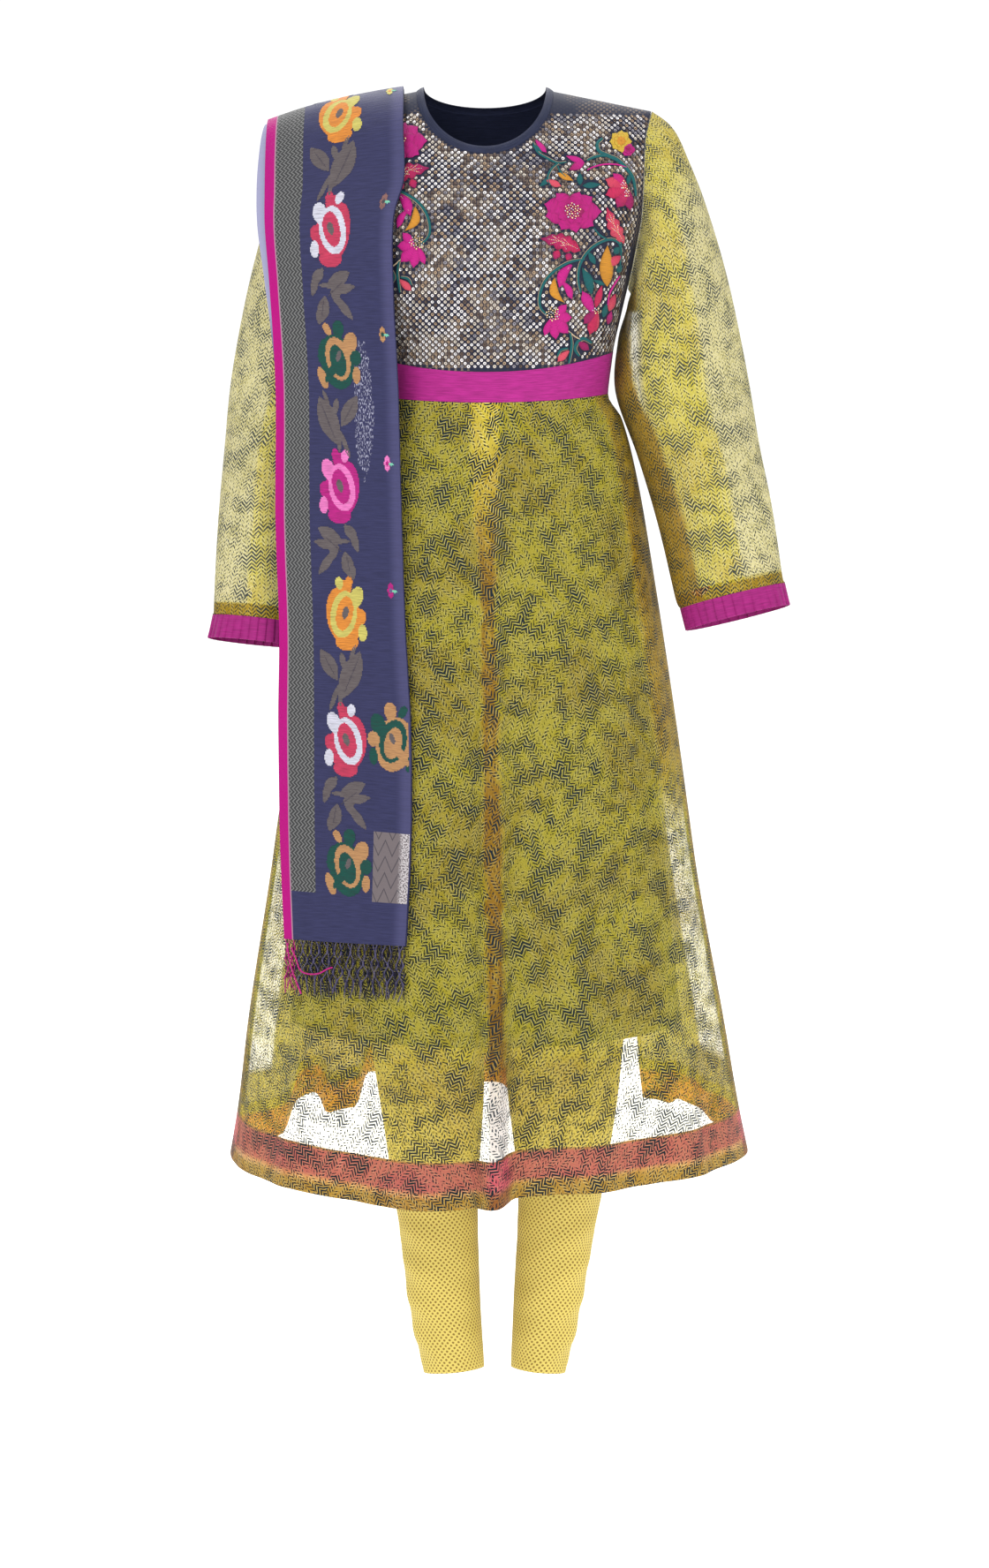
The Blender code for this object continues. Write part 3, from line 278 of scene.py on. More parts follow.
# ---------------------------------------------------------------- yarns
YARN = {
    "magenta": (0.50, 0.012, 0.21), "wine": (0.30, 0.010, 0.10), "crimson": (0.50, 0.020, 0.085),
    "coral": (0.62, 0.075, 0.115), "mustard": (0.58, 0.25, 0.025), "yellow": (0.60, 0.46, 0.05),
    "teal": (0.006, 0.10, 0.105), "beige": (0.55, 0.42, 0.28), "gilt": (0.80, 0.60, 0.34),
    "green": (0.006, 0.058, 0.045), "tan": (0.38, 0.20, 0.085), "red": (0.42, 0.035, 0.080),
    "white": (0.50, 0.50, 0.58), "pink": (0.62, 0.15, 0.40), "rose": (0.36, 0.012, 0.165),
    "orange": (0.56, 0.20, 0.030), "straw": (0.46, 0.41, 0.10), "grey": (0.100, 0.085, 0.086),
    "vein": (0.060, 0.052, 0.062), "brown": (0.20, 0.10, 0.09), "mint": (0.16, 0.48, 0.34),
    "navy": (0.026, 0.027, 0.072), "lilac": (0.100, 0.092, 0.190),
}

# Stitched shapes of the wearer's left, in mm: x and z of the root, x and z of the tip, width, bend
STITCHED = """
petal crimson coral    146.3 -102.7  123.3  -93.7  15.6  0
petal crimson crimson  146.3 -102.7  123.3 -109.9  15.6  0
petal crimson magenta  146.3 -102.7  131.6  -87.4  13.8  0
petal crimson wine     147.2 -104.5  135.2 -122.5  15.6  0
petal wine    wine     147.5 -103.6  149.5 -125.0  13.0  0
jagged coral  crimson  143.5 -158.5  125.1 -122.5  15.6  1.8
jagged crimson wine     97.5 -166.6   57.0 -154.9  18.4 -2.8
jagged crimson crimson  83.7 -166.6   73.6 -151.3   9.2  0
jagged crimson crimson  92.0 -166.6   91.1 -155.8   8.3  0
jagged crimson wine     75.4 -166.6   70.8 -175.6   9.2  0
jagged wine   crimson   87.4 -169.3   83.7 -176.5   8.3  0
leaf  mustard mustard  126.0 -202.6  126.0 -161.2  14.7  0.9
petal magenta magenta   88.3 -181.0   75.4 -204.4  12.9 -2.8
petal magenta magenta   79.1 -198.1   89.2 -216.1   9.2  1.8
leaf  mustard mustard   70.8 -194.5   81.0 -218.8   9.2 -5.5
petal magenta magenta   71.8 -234.1   83.7 -220.6  11.0  0
petal magenta magenta   71.8 -234.1   89.2 -234.1  13.8  0
petal magenta magenta   70.8 -235.0   85.6 -250.3  14.7  0
petal magenta magenta   69.9 -235.0   72.7 -256.6  12.9  0
petal magenta magenta   68.1 -235.0   60.7 -253.0   9.2  0
petal magenta magenta  112.2 -229.6   99.4 -207.1  13.8  0
leaf  beige   beige    110.4 -226.9  102.1 -212.5   5.5  0
leaf  crimson crimson  114.1 -224.2  120.5 -201.7   7.4  0
petal wine    wine     115.0 -227.8  101.2 -240.4  12.0  0
petal crimson crimson  115.9 -228.7  107.6 -252.1  12.9  0
petal coral   crimson  115.9 -227.8  114.1 -249.4   8.3  0
petal wine    wine      96.6 -259.3  107.6 -267.4  10.1  0
petal coral   coral     86.5 -268.3   74.5 -279.1   9.2  0
petal magenta magenta   52.4  -54.1   63.5  -67.6   7.4  0
leaf  teal    teal      48.8  -59.5   58.9  -67.6   4.6  0.9
leaf  mustard mustard   74.5  -88.3   90.2  -95.5   6.4  0
petal coral   coral     63.5  -95.5   78.2 -101.8   8.3  0
leaf  teal    teal      67.2  -92.8   56.1 -101.8   5.5  0
leaf  magenta magenta  102.1  -76.6   83.7  -70.3   6.4  0
leaf  magenta wine     102.1  -76.6   86.5  -84.7   8.3  0
leaf  teal    teal      97.5 -100.0   97.5  -87.4   6.4  0
leaf  teal    teal     100.3 -100.9  118.7  -99.1   6.4  0
leaf  teal    teal     147.5  -98.2  149.5  -87.4   5.0  0
leaf  teal    teal     113.2 -180.1  105.8 -167.5   6.4  0
leaf  teal    teal     109.5 -210.7   99.4 -183.7  10.1 -1.8
leaf  beige   beige    112.2 -200.8  102.1 -184.6   4.6  0.9
leaf  teal    teal     123.3 -200.8  111.3 -196.3   4.6  0
leaf  coral   crimson  127.0 -181.0  140.8 -171.1   9.2  0
leaf  beige   beige    128.8 -179.2  138.9 -172.9   2.8  0
leaf  teal    teal     133.4 -169.3  138.9 -162.1   7.4  0
leaf  teal    teal     136.9 -188.4  141.5 -180.3   6.4  0
leaf  coral   crimson  128.8 -227.8  135.1 -209.8   8.3  0
leaf  wine    magenta  127.6 -241.3  131.3 -227.8   6.4  0
leaf  teal    teal     122.4 -234.1  125.9 -219.7   6.4  0
"""
# Round flowers, in mm: petal and middle yarn, centre, half width, half height, petals, bead reach
FLOWERS = """
magenta wine     89.2 -127.0  29.4 21.6  9  8.3
yellow  mustard 140.4  -54.2  11.5 12.5  8  0.0
magenta wine    147.6  -62.4   7.8  7.2  6  0.0
"""
# Clusters of beads, in mm: centre, half width, half height, count
BEADED = """
 69.0 -230.5 7.8 7.2 30
114.1 -226.9 3.7 3.6  8
142.6  -99.1 3.2 4.5 10
146.1 -107.2 3.0 4.5 10
"""
# Stems, in mm: yarn, width, then x and z of each point
STEMS = """
teal 2.9  64.4 -232.3 57 -224.2 56.1 -212.5 60.7 -199 69.9 -188.2 82.8 -180.1 93.8 -176.5 102.1 -175.6
teal 2.9  98.4 -208.9 95.7 -197.2 96.6 -183.7 102.1 -172 110.4 -163 121.4 -156.7 130.6 -154.9 \
138 -158.5 141.6 -167.5
teal 2.0  138.8 -146.8 140.6 -163 139.7 -181
teal 2.0  128.8 -155.8 118.7 -151.3 111.3 -143.2
teal 2.2  49.7 -56.8 54.3 -66.7 64.4 -73 74.5 -77.5 83.7 -76.6
teal 2.2  75.4 -77.5 68.1 -83.8 64.4 -92.8 67.2 -100.9
teal 1.8  74.5 -80.2 77.3 -86.5 82.8 -91.9
teal 4.0  121.4 -51.4 115.9 -56.8 117.8 -64.9 127 -69.4 137.1 -73.9 146.2 -82 152.6 -91 \
155.2 -101.8 156 -110
teal 2.8  104.9 -74.8 112.2 -71.2 121.4 -69.4 130.6 -71.2
magenta 1.7  104.9 -84.7 112.2 -81.1 123.3 -78.4 136.2 -78.4 146.1 -81.1
teal 2.8  87.4 -249.4 89.2 -260.2 88.3 -271 86.5 -280.9
beige 1.5  85.6 -247.6 92 -253 98.4 -256.6
teal 3.7  110.4 -260.2 102.1 -255.7 95.7 -259.3 92.9 -266.5 97.5 -273.7
teal 2.4  85.6 -265.6 78.2 -267.4 74.5 -273.7
magenta 2.0  139.6 -191.8 134.2 -199.9 128.8 -209.8 127 -221.5
beige 1.3  93.8 -165.7 81 -162.1 66.2 -157.6
beige 1.3  140.8 -154 135.2 -143.2 128.8 -130.6
beige 1.3  85.6 -183.7 81 -190 77.3 -199
"""

# Woven motifs of the scarf, in mm round their centre: x, y, half length, half width, turn in
# degrees, yarn, and 1 where both ends are pointed. Later patches lie over earlier ones.
ROSE = """
  1  -3 31 19.5 -10 A 0
 -2 -30  9 13     0 A 0
 -1  27  8  8     0 A 0
-14  17 12  7.5  22 B 0
 -6  33  7  4.2   5 A 0
  5  32  6.5 4.5  -5 B 0
-19  -3  8  5.5   0 A 0
-20 -20  9  5     0 B 0
  1  -1 25 15    10 B 0
  0   0 18.5 9.5 14 A 0
 -1   1  7  3.4  14 grey 0
"""
SWIRL = """
 -1  -3 29 19.5 12 A 0
 15  16 12  8  -16 B 0
  2  31  9  6.5   0 A 0
-11  31  7  4    28 B 0
 21   1  8  6     0 A 0
 21 -17  9  4.5   0 B 0
-19 -20 12  5    20 B 0
-18   8 13  5   -12 A 0
  0   0 23 14    14 B 0
  0  -2 17  9    14 A 0
 -8 -13 14  4.5 -34 A 0
  1   3  6  2.8 -20 grey 0
"""
BROAD_SPRAY = """
-16  13 20  9   30 grey 1
 10   2 30 12  -24 grey 1
-10 -24 16  2.8 -22 grey 0
 -3 -20 13  2.6   0 grey 0
 13  27 10  2.4 -24 grey 0
  1  18  9  3.6  10 grey 0
-16  13 15  0.6  30 vein 0
 11   2 23  0.7 -24 vein 0
"""
TORN_SPRAY = """
-15  20 12  6   -40 grey 1
-20  10 13  4.5 -15 grey 1
 10  16 17  8   -60 grey 1
 16   6 15  5.5 -78 grey 1
  6   2 14  6     5 grey 1
-10 -16 15  7.5 -10 grey 1
-16 -24 10  4     0 grey 1
 15 -14 18  5    38 grey 1
  0  10  3 14     0 grey 0
  6   6 14  0.6 -50 vein 0
-11 -16 11  0.6 -10 vein 0
"""
BUD = """
  0   0 13  5.5   0 A 0
  7  -1  5  2.6  80 mint 1
  0   0  5  2     0 B 0
"""


def number_or_word(word: str) -> float | str:
    """A word of a text table, read as a number where it is one."""
    return float(word) if word.lstrip("-")[0].isdigit() else word


def rows_of(table: str) -> list[list[float | str]]:
    """A text table's rows, with its numbers read as numbers."""
    return [[number_or_word(word) for word in line.split()] for line in table.strip().splitlines()]


# ================================================================ meshes
def grid_normals(points: Array, closed: bool) -> Array:
    """Unit normals of a grid of points, pointing away from each row's middle.

    Args:
        points: rows x columns x 3.
        closed: whether each row closes on itself.

    Returns:
        A normal for each point.
    """
    if closed:
        around = np.roll(points, -1, axis=1) - np.roll(points, 1, axis=1)
    else:
        around = np.gradient(points, axis=1)
    normals = unit(np.cross(around, np.gradient(points, axis=0)))
    outward = (normals * (points - points.mean(axis=1, keepdims=True))).sum()
    return normals if outward > 0 else -normals


def arc_lengths(points: Array, axis: int) -> Array:
    """Distances along the rows or columns of a grid, 0 at the first point.

    Args:
        points: a grid of points.
        axis: 0 to go from row to row, 1 to go along them.

    Returns:
        The distances, in the shape of the grid.
    """
    steps = np.linalg.norm(np.diff(points, axis=axis), axis=-1)
    lengths = np.cumsum(steps, axis=axis)
    return np.insert(lengths, 0, 0.0, axis=axis)


def circle(count: int) -> Array:
    """Angles of evenly spaced points round a circle."""
    return np.arange(count) * 2 * np.pi / count


def numbered(rows: int, columns: int, closed: bool = False) -> Array:
    """Numbers of a grid's points, the first column once more at the end of a closed one."""
    index = np.arange(rows * columns).reshape(rows, columns)
    return np.concatenate([index, index[:, :1]], axis=1) if closed else index


def quads(index: Array) -> Array:
    """Four-sided faces of a grid of point numbers."""
    corners = (index[:-1, :-1], index[:-1, 1:], index[1:, 1:], index[1:, :-1])
    return np.stack(corners, -1).reshape(-1, 4)


def frames_on(normals: Array, near: Spot) -> Array:
    """A 3 x 3 frame for each normal, which is its last axis."""
    side = unit(np.cross(normals, near))
    return np.stack([side, np.cross(normals, side), normals], axis=1)


@dataclass
class Cloth:
    """A grid of points that becomes one piece of cloth.

    Attributes:
        points: rows x columns x 3, the outer face.
        closed: whether each row closes on itself.
        normals: outward normals, worked out where none are given.
        place: each point's place on the flat cloth, in metres.
        marks: named values of each point, which the finishes read.
    """

    points: Array
    closed: bool = False
    normals: Array | None = None
    place: Array | None = None
    marks: dict[str, Array] = field(default_factory=dict)

    def __post_init__(self) -> None:
        """Work out the normals, and the flat places from the middle and the foot."""
        if self.normals is None:
            self.normals = grid_normals(self.points, self.closed)
        if self.place is None:
            ring = self.points
            if self.closed:
                ring = np.concatenate([ring, ring[:, :1]], axis=1)
            across = arc_lengths(ring, 1)
            across -= across[:, across.shape[1] // 2, None]
            up = arc_lengths(ring, 0)
            self.place = np.stack([across, up[-1:] - up], -1)

    def moved(self, distance: Array | float) -> "Cloth":
        """The same cloth moved out along its normals.

        Args:
            distance: how far, or one for each point.

        Returns:
            The moved cloth.
        """
        shift = np.asarray(distance)
        shift = shift[..., None] if shift.ndim else shift
        return Cloth(self.points + self.normals * shift, self.closed, self.normals, self.place,
                     self.marks)

    def mesh(self, name: str, thickness: float) -> bpy.types.Mesh:
        """Build the mesh: one face of cloth, or a closed shell where it has a thickness.

        Args:
            name: the mesh's name.
            thickness: how far the inner face lies behind the outer one, or 0.

        Returns:
            The mesh, with its places as a UV map and its marks as attributes.
        """
        index = numbered(*self.points.shape[:2], self.closed)
        flat_index = numbered(*self.place.shape[:2])
        faces, places = quads(index), quads(flat_index)
        first = self.points.reshape(-1, 3)[faces]
        facing = np.cross(first[:, 2] - first[:, 0], first[:, 3] - first[:, 1])
        if (facing * self.normals.reshape(-1, 3)[faces[:, 0]]).sum() < 0:
            faces, places = faces[:, ::-1], places[:, ::-1]
        points, marks = self.points.reshape(-1, 3), dict(self.marks)
        if thickness:
            count = len(points)
            points = np.concatenate([points, points - self.normals.reshape(-1, 3) * thickness])
            marks = {k: np.concatenate([v.ravel(), v.ravel()]) for k, v in marks.items()}
            rims, rim_places = [], []
            edges = [(index[0], flat_index[0]), (index[-1, ::-1], flat_index[-1, ::-1])]
            if not self.closed:
                edges += [(index[::-1, 0], flat_index[::-1, 0]), (index[:, -1], flat_index[:, -1])]
            for line, flat in edges:
                rims.append(np.stack([line[:-1], line[1:], line[1:] + count, line[:-1] + count], -1))
                rim_places.append(np.stack([flat[:-1], flat[1:], flat[1:], flat[:-1]], -1))
            rim, rim_place = np.concatenate(rims), np.concatenate(rim_places)
            if (faces[0] == quads(index)[0]).all():
                rim, rim_place = rim[:, ::-1], rim_place[:, ::-1]
            faces = np.concatenate([faces, faces[:, ::-1] + count, rim])
            places = np.concatenate([places, places[:, ::-1], rim_place])
        mesh = quad_mesh(name, points, faces)
        layer = mesh.uv_layers.new(name="Cloth")
        layer.data.foreach_set("uv", self.place.reshape(-1, 2)[places.ravel()].ravel())
        for label, values in marks.items():
            mark = mesh.attributes.new(label, "FLOAT", "POINT")
            mark.data.foreach_set("value", np.ascontiguousarray(values, np.float32).ravel())
        return mesh


def quad_mesh(name: str, points: Array, faces: Array) -> bpy.types.Mesh:
    """A smooth mesh of four-sided faces.

    Args:
        name: the mesh's name.
        points: any x 3.
        faces: any x 4, numbers of points.

    Returns:
        The mesh.
    """
    mesh = bpy.data.meshes.new(name)
    mesh.vertices.add(len(points))
    mesh.vertices.foreach_set("co", np.asarray(points, np.float32).ravel())
    mesh.loops.add(faces.size)
    mesh.loops.foreach_set("vertex_index", faces.astype(np.int32).ravel())
    mesh.polygons.add(len(faces))
    mesh.polygons.foreach_set("loop_start", np.arange(0, faces.size, 4, dtype=np.int32))
    mesh.update(calc_edges=True)
    mesh.shade_smooth()
    mesh.set_sharp_from_angle(angle=math.radians(55))
    return mesh


@dataclass
class Bits:
    """Many small shapes that are gathered into one piece.

    Attributes:
        points: arrays of points, one for each shape added.
        faces: arrays of four-sided faces, numbered through all the points.
        colours: a colour for each point.
        places: each point's place along and across its threads.
    """

    points: list[Array] = field(default_factory=list)
    faces: list[Array] = field(default_factory=list)
    colours: list[Array] = field(default_factory=list)
    places: list[Array] = field(default_factory=list)
    count: int = 0

    def add(self, points: Array, faces: Array, colour: Array, place: Array | None = None) -> None:
        """Add one shape, or many that share an array.

        Args:
            points: any x 3.
            faces: four-sided faces, numbered from 0.
            colour: one colour, or one for each point.
            place: each point's place on its threads.
        """
        points = points.reshape(-1, 3)
        self.points.append(points)
        self.faces.append(faces + self.count)
        self.colours.append(np.broadcast_to(np.asarray(colour, float), (len(points), 3)))
        self.places.append(np.zeros((len(points), 2)) if place is None else place.reshape(-1, 2))
        self.count += len(points)

    def stamp(self, shape: tuple[Array, Array], spots: Array, turns: Array, sizes: Array,
              colours: Array) -> None:
        """Add a copy of one shape at each spot.

        Args:
            shape: points and faces of the shape.
            spots: where the copies go.
            turns: a 3 x 3 frame for each, whose rows are its axes.
            sizes: a size for each.
            colours: a colour for each, or one for each of its points.
        """
        points, faces = shape
        copies = np.einsum("pk,nkc->npc", points, turns) * sizes[:, None, None] + spots[:, None]
        every = faces[None] + (np.arange(len(spots)) * len(points))[:, None, None]
        colours = colours[:, None] if colours.ndim == 2 else colours
        tints = np.broadcast_to(colours, copies.shape).reshape(-1, 3)
        self.add(copies, every.reshape(-1, 4), tints)

    def tube(self, path: Array, radius: Array | float, colour: Array, sides: int = 5) -> None:
        """Add a thread, stem or strand along a path.

        Args:
            path: its points.
            radius: its radius, or one for each point.
            colour: one colour, or one for each point of the path.
            sides: how many sides it has.
        """
        along = unit(np.gradient(path, axis=0))
        side = unit(np.cross(along, (0.31, 0.87, 0.38)))
        up = np.cross(along, side)
        turn = circle(sides)
        ring = np.cos(turn)[:, None] * side[:, None] + np.sin(turn)[:, None] * up[:, None]
        radius = np.broadcast_to(radius, (len(path),))[:, None, None]
        colour = np.broadcast_to(np.asarray(colour, float), (len(path), 3))
        reach = arc_lengths(path, 0)
        place = np.stack(np.broadcast_arrays(turn[None] * 0.001, reach[:, None]), -1)
        self.add(path[:, None] + ring * radius, quads(numbered(len(path), sides, True)),
                 np.repeat(colour, sides, axis=0), place)

    def mesh(self, name: str) -> bpy.types.Mesh:
        """Join everything into one mesh with its colours and places.

        Args:
            name: the mesh's name.

        Returns:
            The mesh.
        """
        faces = np.concatenate(self.faces)
        mesh = quad_mesh(name, np.concatenate(self.points), faces)
        colours = np.concatenate(self.colours)
        tone = mesh.attributes.new("Tone", "FLOAT_COLOR", "POINT")
        tone.data.foreach_set("color", np.insert(colours, 3, 1.0, axis=1).astype(np.float32).ravel())
        layer = mesh.uv_layers.new(name="Cloth")
        layer.data.foreach_set("uv", np.concatenate(self.places)[faces.ravel()].ravel())
        return mesh


def put(mesh: bpy.types.Mesh, finish: "Finish", slot: str | None, *nodes: str) -> bpy.types.Object:
    """Put a mesh in the scene as one piece of the suit.

    Args:
        mesh: its mesh, whose name becomes the piece's.
        finish: what it is made of.
        slot: a material slot's name; not used.
        nodes: the solids that it stands for.

    Returns:
        The piece, which rides on the suit.
    """
    piece = bpy.data.objects.new(mesh.name, mesh)
    bpy.context.scene.collection.objects.link(piece)
    mesh.materials.append(finish.material())
    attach(piece, "root")
    if nodes:
        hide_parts(*nodes)
    LOG.info("%s: %d faces", piece.name, len(mesh.polygons))
    return piece


# ================================================================ shaders
class Value:
    """A shader socket that plain arithmetic extends with Math nodes."""

    def __init__(self, graph: "Graph", socket: bpy.types.NodeSocket) -> None:
        """Hold a socket of a graph."""
        self.graph, self.socket = graph, socket

    def __add__(self, other: "Value | float") -> "Value":
        """Sum."""
        return self.graph.math("ADD", self, other)

    def __sub__(self, other: "Value | float") -> "Value":
        """Difference."""
        return self.graph.math("SUBTRACT", self, other)

    def __mul__(self, other: "Value | float") -> "Value":
        """Product."""
        return self.graph.math("MULTIPLY", self, other)

    def __truediv__(self, other: "Value | float") -> "Value":
        """Quotient."""
        return self.graph.math("DIVIDE", self, other)

    def __lt__(self, other: "Value | float") -> "Value":
        """1 where it is less, else 0."""
        return self.graph.math("LESS_THAN", self, other)

    def __gt__(self, other: "Value | float") -> "Value":
        """1 where it is more, else 0."""
        return self.graph.math("GREATER_THAN", self, other)

    def off(self, other: "Value | float") -> "Value":
        """Distance from another value."""
        return self.graph.math("ABSOLUTE", self - other)

    def fraction(self) -> "Value":
        """What is left after the whole number."""
        return self.graph.math("FRACT", self)

    def floor(self) -> "Value":
        """The whole number below."""
        return self.graph.math("FLOOR", self)

    def between(self, low: float, high: float, first: float = 0.0, last: float = 1.0) -> "Value":
        """Smooth climb from `first` at `low` to `last` at `high`.

        Args:
            low: where the climb starts.
            high: where it ends.
            first: value below.
            last: value above.

        Returns:
            The value.
        """
        node = self.graph.add("MapRange", interpolation_type="SMOOTHSTEP")
        for k, item in enumerate((self, low, high, first, last)):
            self.graph.feed(node.inputs[k], item)
        return Value(self.graph, node.outputs[0])


class Graph:
    """A node tree that plain calls wire."""

    def __init__(self, tree: bpy.types.NodeTree) -> None:
        """Work on a tree."""
        self.tree = tree

    def add(self, kind: str, **settings: object) -> bpy.types.Node:
        """A new shader node with its settings.

        Args:
            kind: its kind, without the prefix.
            settings: its properties.

        Returns:
            The node.
        """
        node = self.tree.nodes.new("ShaderNode" + kind)
        for name, value in settings.items():
            setattr(node, name, value)
        return node

    def feed(self, socket: bpy.types.NodeSocket, item: object) -> None:
        """Give a socket a value or a link.

        Args:
            socket: an input.
            item: a number, a colour, a value or a socket.
        """
        item = item.socket if isinstance(item, Value) else item
        if isinstance(item, bpy.types.NodeSocket):
            self.tree.links.new(item, socket)
        elif isinstance(item, tuple) and len(item) == 3 and socket.type == "RGBA":
            socket.default_value = (*item, 1.0)
        else:
            socket.default_value = item

    def math(self, operation: str, *items: object) -> Value:
        """A Math node's value.

        Args:
            operation: the node's operation.
            items: its inputs.

        Returns:
            The value.
        """
        node = self.add("Math", operation=operation)
        for socket, item in zip(node.inputs, items):
            self.feed(socket, item)
        return Value(self, node.outputs[0])

    def point(self, x: object, y: object, z: object = 0.0) -> Value:
        """A vector of three values.

        Args:
            x: first value.
            y: second value.
            z: third value.

        Returns:
            The vector.
        """
        node = self.add("CombineXYZ")
        for socket, item in zip(node.inputs, (x, y, z)):
            self.feed(socket, item)
        return Value(self, node.outputs[0])

    def apart(self, vector: object) -> tuple[Value, Value]:
        """The first two values of a vector.

        Args:
            vector: the vector.

        Returns:
            Its x and y.
        """
        node = self.add("SeparateXYZ")
        self.feed(node.inputs[0], vector)
        return Value(self, node.outputs[0]), Value(self, node.outputs[1])

    def noise(self, vector: object, scale: float, detail: float = 1.0) -> Value:
        """Soft noise around 0.5.

        Args:
            vector: where it is read.
            scale: how fine it is.
            detail: how many finer layers it has.

        Returns:
            The noise.
        """
        node = self.add("TexNoise")
        for name, item in (("Vector", vector), ("Scale", scale), ("Detail", detail)):
            self.feed(node.inputs[name], item)
        return Value(self, node.outputs["Fac"])

    def random(self, x: object, y: object) -> Value:
        """An even random value for each cell.

        Args:
            x: the cell's column.
            y: the cell's row.

        Returns:
            The value.
        """
        node = self.add("TexWhiteNoise", noise_dimensions="2D")
        self.feed(node.inputs["Vector"], self.point(x, y))
        return Value(self, node.outputs["Value"])

    def blend(self, share: object, first: object, second: object) -> Value:
        """A colour between two.

        Args:
            share: how much of the second.
            first: first colour.
            second: second colour.

        Returns:
            The colour.
        """
        node = self.add("Mix", data_type="RGBA")
        for k, item in ((0, share), (6, first), (7, second)):
            self.feed(node.inputs[k], item)
        return Value(self, node.outputs[2])

    def place(self) -> Value:
        """The place on the flat cloth, in metres."""
        return Value(self, self.add("UVMap", uv_map="Cloth").outputs[0])

    def mark(self, name: str, output: str = "Fac") -> Value:
        """A named mark of the mesh."""
        return Value(self, self.add("Attribute", attribute_name=name).outputs[output])

    def use(self, effect: bpy.types.NodeTree, **items: object) -> dict[str, Value]:
        """Place a shared effect and return its outputs by name.

        Args:
            effect: its node group.
            items: its inputs by name.

        Returns:
            Its outputs by name.
        """
        node = self.add("Group", node_tree=effect)
        for name, item in items.items():
            self.feed(node.inputs[name], item)
        return {socket.name: Value(self, socket) for socket in node.outputs}


class Effect(Graph):
    """A shader node group with named inputs and outputs."""

    def __init__(self, name: str, inputs: str, outputs: str) -> None:
        """Make the group.

        Args:
            name: the group's name.
            inputs: its inputs, the first of which is a vector.
            outputs: its outputs, all of them values.
        """
        super().__init__(bpy.data.node_groups.new(name, "ShaderNodeTree"))
        for k, label in enumerate(inputs.split()):
            kind = "NodeSocketFloat" if k else "NodeSocketVector"
            self.tree.interface.new_socket(label, in_out="INPUT", socket_type=kind)
        for label in outputs.split():
            self.tree.interface.new_socket(label, in_out="OUTPUT", socket_type="NodeSocketFloat")
        self.source = self.tree.nodes.new("NodeGroupInput").outputs
        self.target = self.tree.nodes.new("NodeGroupOutput").inputs

    def given(self, name: str) -> Value:
        """One of the inputs."""
        return Value(self, self.source[name])

    def give(self, **items: Value) -> bpy.types.NodeTree:
        """Wire the outputs and return the group.

        Args:
            items: the outputs by name.

        Returns:
            The group.
        """
        for name, item in items.items():
            self.feed(self.target[name], item)
        return self.tree


def shared(name: str) -> bpy.types.NodeTree:
    """An effect that several finishes use, built the first time."""
    return bpy.data.node_groups.get(name) or EFFECTS[name]()


def strokes() -> bpy.types.NodeTree:
    """Zigzag brush strokes in leaning patches, broken up and thinned out to dashes between them.

    Returns:
        The effect.
    """
    g = Effect("strokes", "Place Spacing Width Weight Lean", "Ink Haze Light")
    place, spacing, width = (g.given(n) for n in ("Place", "Spacing", "Width"))
    u, v = g.apart(place)
    wander, sway = (g.noise(g.point(u, v, k), 24.0, 2.0) - 0.5 for k in (0.1, 0.7))
    cells = g.add("TexVoronoi", voronoi_dimensions="2D")
    g.feed(cells.inputs["Vector"], g.point(u + wander * 0.030, v + sway * 0.030))
    g.feed(cells.inputs["Scale"], 21.0)
    lot_x, lot_y = g.apart(cells.outputs["Color"])
    from_x, from_y = g.apart(cells.outputs["Position"])
    lean = ((lot_x > 0.42) * 1.15 - 0.55 + (lot_y - 0.5) * 0.5) * g.given("Lean")
    turn, tip = g.math("COSINE", lean), g.math("SINE", lean)
    x, y = u - from_x + wander * 0.006, v - from_y + sway * 0.008
    x, y = x * turn - y * tip, x * tip + y * turn
    arm = x / width * 2.0
    row = (y + g.math("PINGPONG", x, width * 0.5) * 1.05) / spacing + lot_y
    fine = g.noise(place, 420.0) - 0.5
    line = (row.fraction() - 0.5).off(0.0) * 2.0 + fine * 0.45
    lot = g.random(arm.floor() + lot_x * 50.0, row.floor())
    patch = g.noise(g.point(u, v, 0.9), 40.0, 2.0)
    bold = patch.between(0.42, 0.62)
    ends = (arm.fraction() - 0.5).off(0.0) * 2.0
    split = (arm.fraction() * 2.0 + lot * 1.0).fraction().off(0.5) * 2.0
    reach = bold * 0.50 + 0.66 + (lot - 0.5) * 0.6
    share = bold * 0.18 + 0.42 + (lot - 0.5) * 0.26 + g.given("Weight")
    dashes = (ends < reach) * g.math("MAXIMUM", split < 0.70, bold > lot * 0.9 + 0.05)
    ink = (line - share).between(0.08, -0.08) * dashes * (lot * 0.8 + bold > 0.07)
    haze = g.noise(g.point(u, v, 0.37), 12.0, 3.0).between(0.44, 0.66)
    pale = (line > 0.72) * (lot > 0.35) * (ends < 0.75)
    light = g.math("MAXIMUM", pale, patch.between(0.50, 0.38) * 0.16)
    return g.give(Ink=ink, Haze=haze, Light=light)


def weave() -> bpy.types.NodeTree:
    """Plain weave with uneven threads that run across the cloth.

    Returns:
        The effect.
    """
    g = Effect("weave", "Place Threads Slub", "Height Streak")
    place, threads, slub = (g.given(n) for n in ("Place", "Threads", "Slub"))
    u, v = g.apart(place)
    across = (u * threads).fraction().off(0.5)
    along = (v * threads).fraction().off(0.5)
    streak = g.noise(g.point(u * 55.0, v * 900.0), 1.0, 3.0)
    return g.give(Height=(across + along) * 0.6 + streak * slub, Streak=streak)


